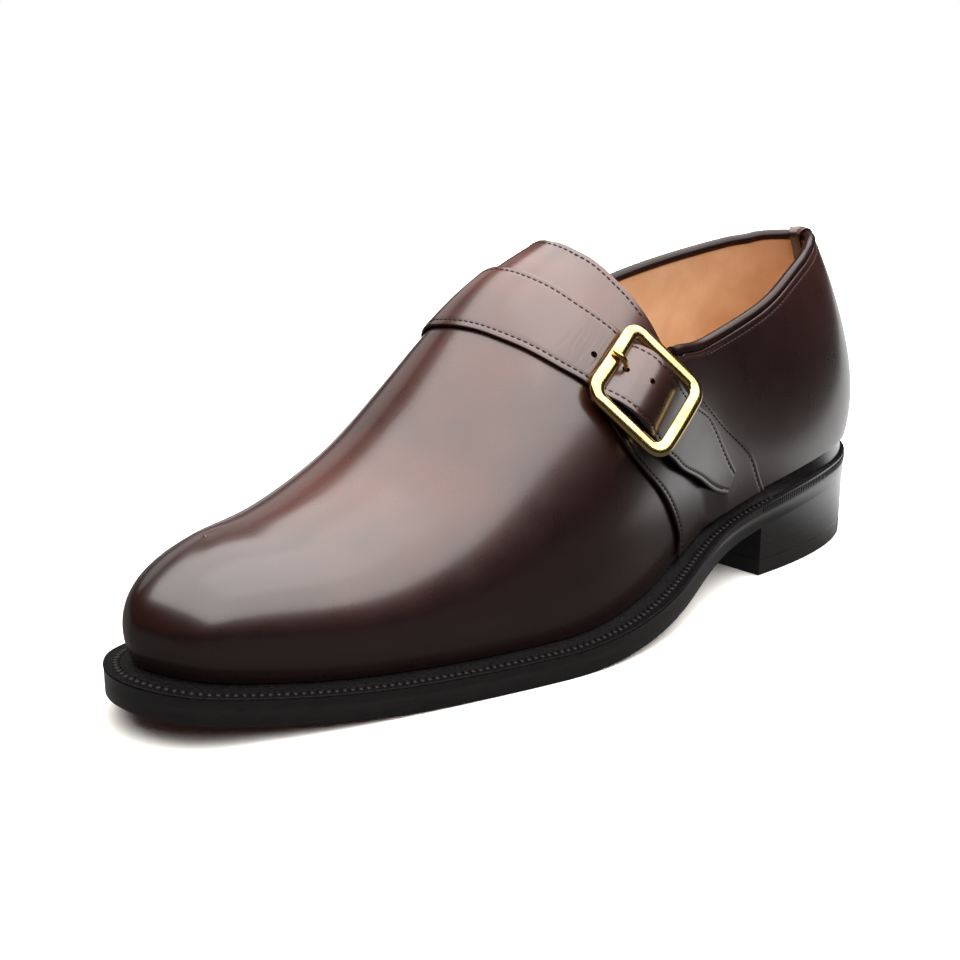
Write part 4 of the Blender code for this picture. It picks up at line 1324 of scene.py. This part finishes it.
class SHOE_OT_buckle(bpy.types.Operator):
    """Buckle frame with its centre bar and prong"""
    bl_idname = "shoe.buckle"
    bl_label = "Buckle"

    def execute(self, context):
        centre, down, over, out = buckle_axes()
        wide = BUCKLE_BAR / 2.0 + POLISHED
        profile = [(wide * a, BUCKLE_THICK / 2.0 * b) for a, b in BAR_QUARTER]
        profile += [(-a, b) for a, b in profile[-2::-1]]
        profile += [(a, -b) for a, b in profile[-2:0:-1]]
        half_w = BUCKLE_WIDTH / 2.0 - wide
        loop = self.middle_line(BUCKLE_LENGTH / 2.0 - wide, half_w, BUCKLE_CORNER - POLISHED)
        sections = np.array([[centre + down * (x + ax * w) + over * (y + ay * w)
                              + out * (h - y * y / BUCKLE_BOW) for w, h in profile] for x, y, ax, ay in loop])
        obj = sweep("buckle_frame", sections, look("brass"), closed=True)
        dress(obj, "brass", "buckle", angle=60.0)

        turn = np.linspace(0.0, 2.0 * math.pi, 17)[:-1]
        round_bar = CENTRE_BAR_RADIUS * (np.cos(turn)[:, None] * down + np.sin(turn)[:, None] * out)
        sections = np.array([centre + over * y - out * (CENTRE_BAR_BELOW + y * y / BUCKLE_BOW) + round_bar
                             for y in np.linspace(-half_w, half_w, 9)])
        obj = sweep("centre_bar", sections, look("brass"), closed=False)
        dress(obj, "brass", "buckle", angle=60.0)

        sections = np.array([[centre + down * x + out * (h + tall * math.sin(a)) + over * (half * math.cos(a))
                              for a in turn] for x, h, half, tall in PRONG])
        obj = sweep("prong_pin", sections, look("brass"), closed=False)
        dress(obj, "brass", "prong", angle=60.0)
        return {"FINISHED"}

    def middle_line(self, half_l, half_w, corner):
        """Middle line of the bars, with the outward direction at each point."""
        loop = []
        for q, (sx, sy) in enumerate(((1, 1), (-1, 1), (-1, -1), (1, -1))):
            for a in np.radians(90.0 * q + np.linspace(0.0, 90.0, 13)):
                ax, ay = math.cos(a), math.sin(a)
                x = sx * (half_l - corner) + corner * ax
                y = sy * (half_w - corner) + corner * ay
                loop.append(np.array((x, y, ax, ay)))
        arc = len(loop) // 4
        spaced = []
        for number, point in enumerate(loop):
            spaced.append(point)
            if number % arc == arc - 1:
                step = np.append(loop[(number + 1) % len(loop)][:2] - point[:2], (0.0, 0.0))
                spaced += [point + step * k for k in (0.2, 0.4, 0.6, 0.8)]
        return spaced


class SHOE_OT_stage(bpy.types.Operator):
    """Floor, soft lights and the camera"""
    bl_idname = "shoe.stage"
    bl_label = "Stage"

    def execute(self, context):
        deselect()
        bpy.ops.mesh.primitive_plane_add(size=8.0, location=(0.0, 0.0, 0.0))
        floor = context.object
        floor.name = "floor"
        floor.data.materials.append(paper_look())
        world = bpy.data.worlds.new("studio")
        world.use_nodes = True
        context.scene.world = world
        room = world.node_tree.nodes["Background"]
        room.inputs["Color"].default_value = (1.0, 1.0, 1.0, 1.0)
        room.inputs["Strength"].default_value = 0.02
        white = {"Color": (1.0, 1.0, 1.0, 1.0), "Strength": 1.0}
        backdrop = add_node(world.node_tree, "ShaderNodeBackground", white)
        for_camera(world.node_tree, room, backdrop, "World Output")
        context.scene.view_settings.view_transform = "Standard"
        for name, place, target, size, power in LIGHTS:
            lamp = bpy.data.lights.new(name, "AREA")
            lamp.shape = "RECTANGLE"
            lamp.size, lamp.size_y = size
            lamp.energy = power
            lamp.color = LIGHT_COLOUR
            obj = bpy.data.objects.new(name, lamp)
            context.scene.collection.objects.link(obj)
            obj.location = place
            obj.rotation_euler = (Vector(target) - Vector(place)).to_track_quat("-Z", "Y").to_euler()
        self.camera(context)
        return {"FINISHED"}

    def camera(self, context):
        a, e = math.radians(CAMERA_AZIMUTH), math.radians(CAMERA_ELEVATION)
        back = Vector((math.sin(a) * math.cos(e), -math.cos(a) * math.cos(e), math.sin(e)))
        right = Vector((math.cos(a), math.sin(a), 0.0))
        ahead, aside, below = CAMERA_AIM
        aim = -back * ahead + right * aside - back.cross(right) * below
        lens = bpy.data.cameras.new("camera")
        lens.lens = CAMERA_LENS
        lens.sensor_width = 36.0
        eye = bpy.data.objects.new("camera", lens)
        context.scene.collection.objects.link(eye)
        eye.location = CAMERA_PLACE
        eye.rotation_euler = aim.to_track_quat("-Z", "Y").to_euler()
        context.scene.camera = eye


class SHOE_PT_panel(bpy.types.Panel):
    bl_idname = "SHOE_PT_panel"
    bl_label = "Monk strap shoe"
    bl_space_type = "VIEW_3D"
    bl_region_type = "UI"
    bl_category = "Shoe"

    def draw(self, context):
        for group, kind in GROUPS:
            for name in kind.__annotations__:
                self.layout.prop(getattr(context.scene, group), name)
        for operator in OPERATORS:
            self.layout.operator(operator.bl_idname)


GROUPS = (("shoe_sizes", ShoeSizes), ("shoe_colours", ShoeColours))
OPERATORS = (SHOE_OT_upper, SHOE_OT_quarters, SHOE_OT_strap, SHOE_OT_binding, SHOE_OT_sole, SHOE_OT_heel,
             SHOE_OT_inside, SHOE_OT_buckle, SHOE_OT_stage)


def register():
    for name, kind in GROUPS:
        bpy.utils.register_class(kind)
        setattr(bpy.types.Scene, name, bpy.props.PointerProperty(type=kind))
    for operator in OPERATORS:
        bpy.utils.register_class(operator)
    bpy.utils.register_class(SHOE_PT_panel)


def unregister():
    bpy.utils.unregister_class(SHOE_PT_panel)
    for operator in reversed(OPERATORS):
        bpy.utils.unregister_class(operator)
    for name, kind in reversed(GROUPS):
        delattr(bpy.types.Scene, name)
        bpy.utils.unregister_class(kind)


def main():
    register()
    for operator in OPERATORS:
        group, name = operator.bl_idname.split(".")
        getattr(getattr(bpy.ops, group), name)()


if __name__ == "__main__":
    main()
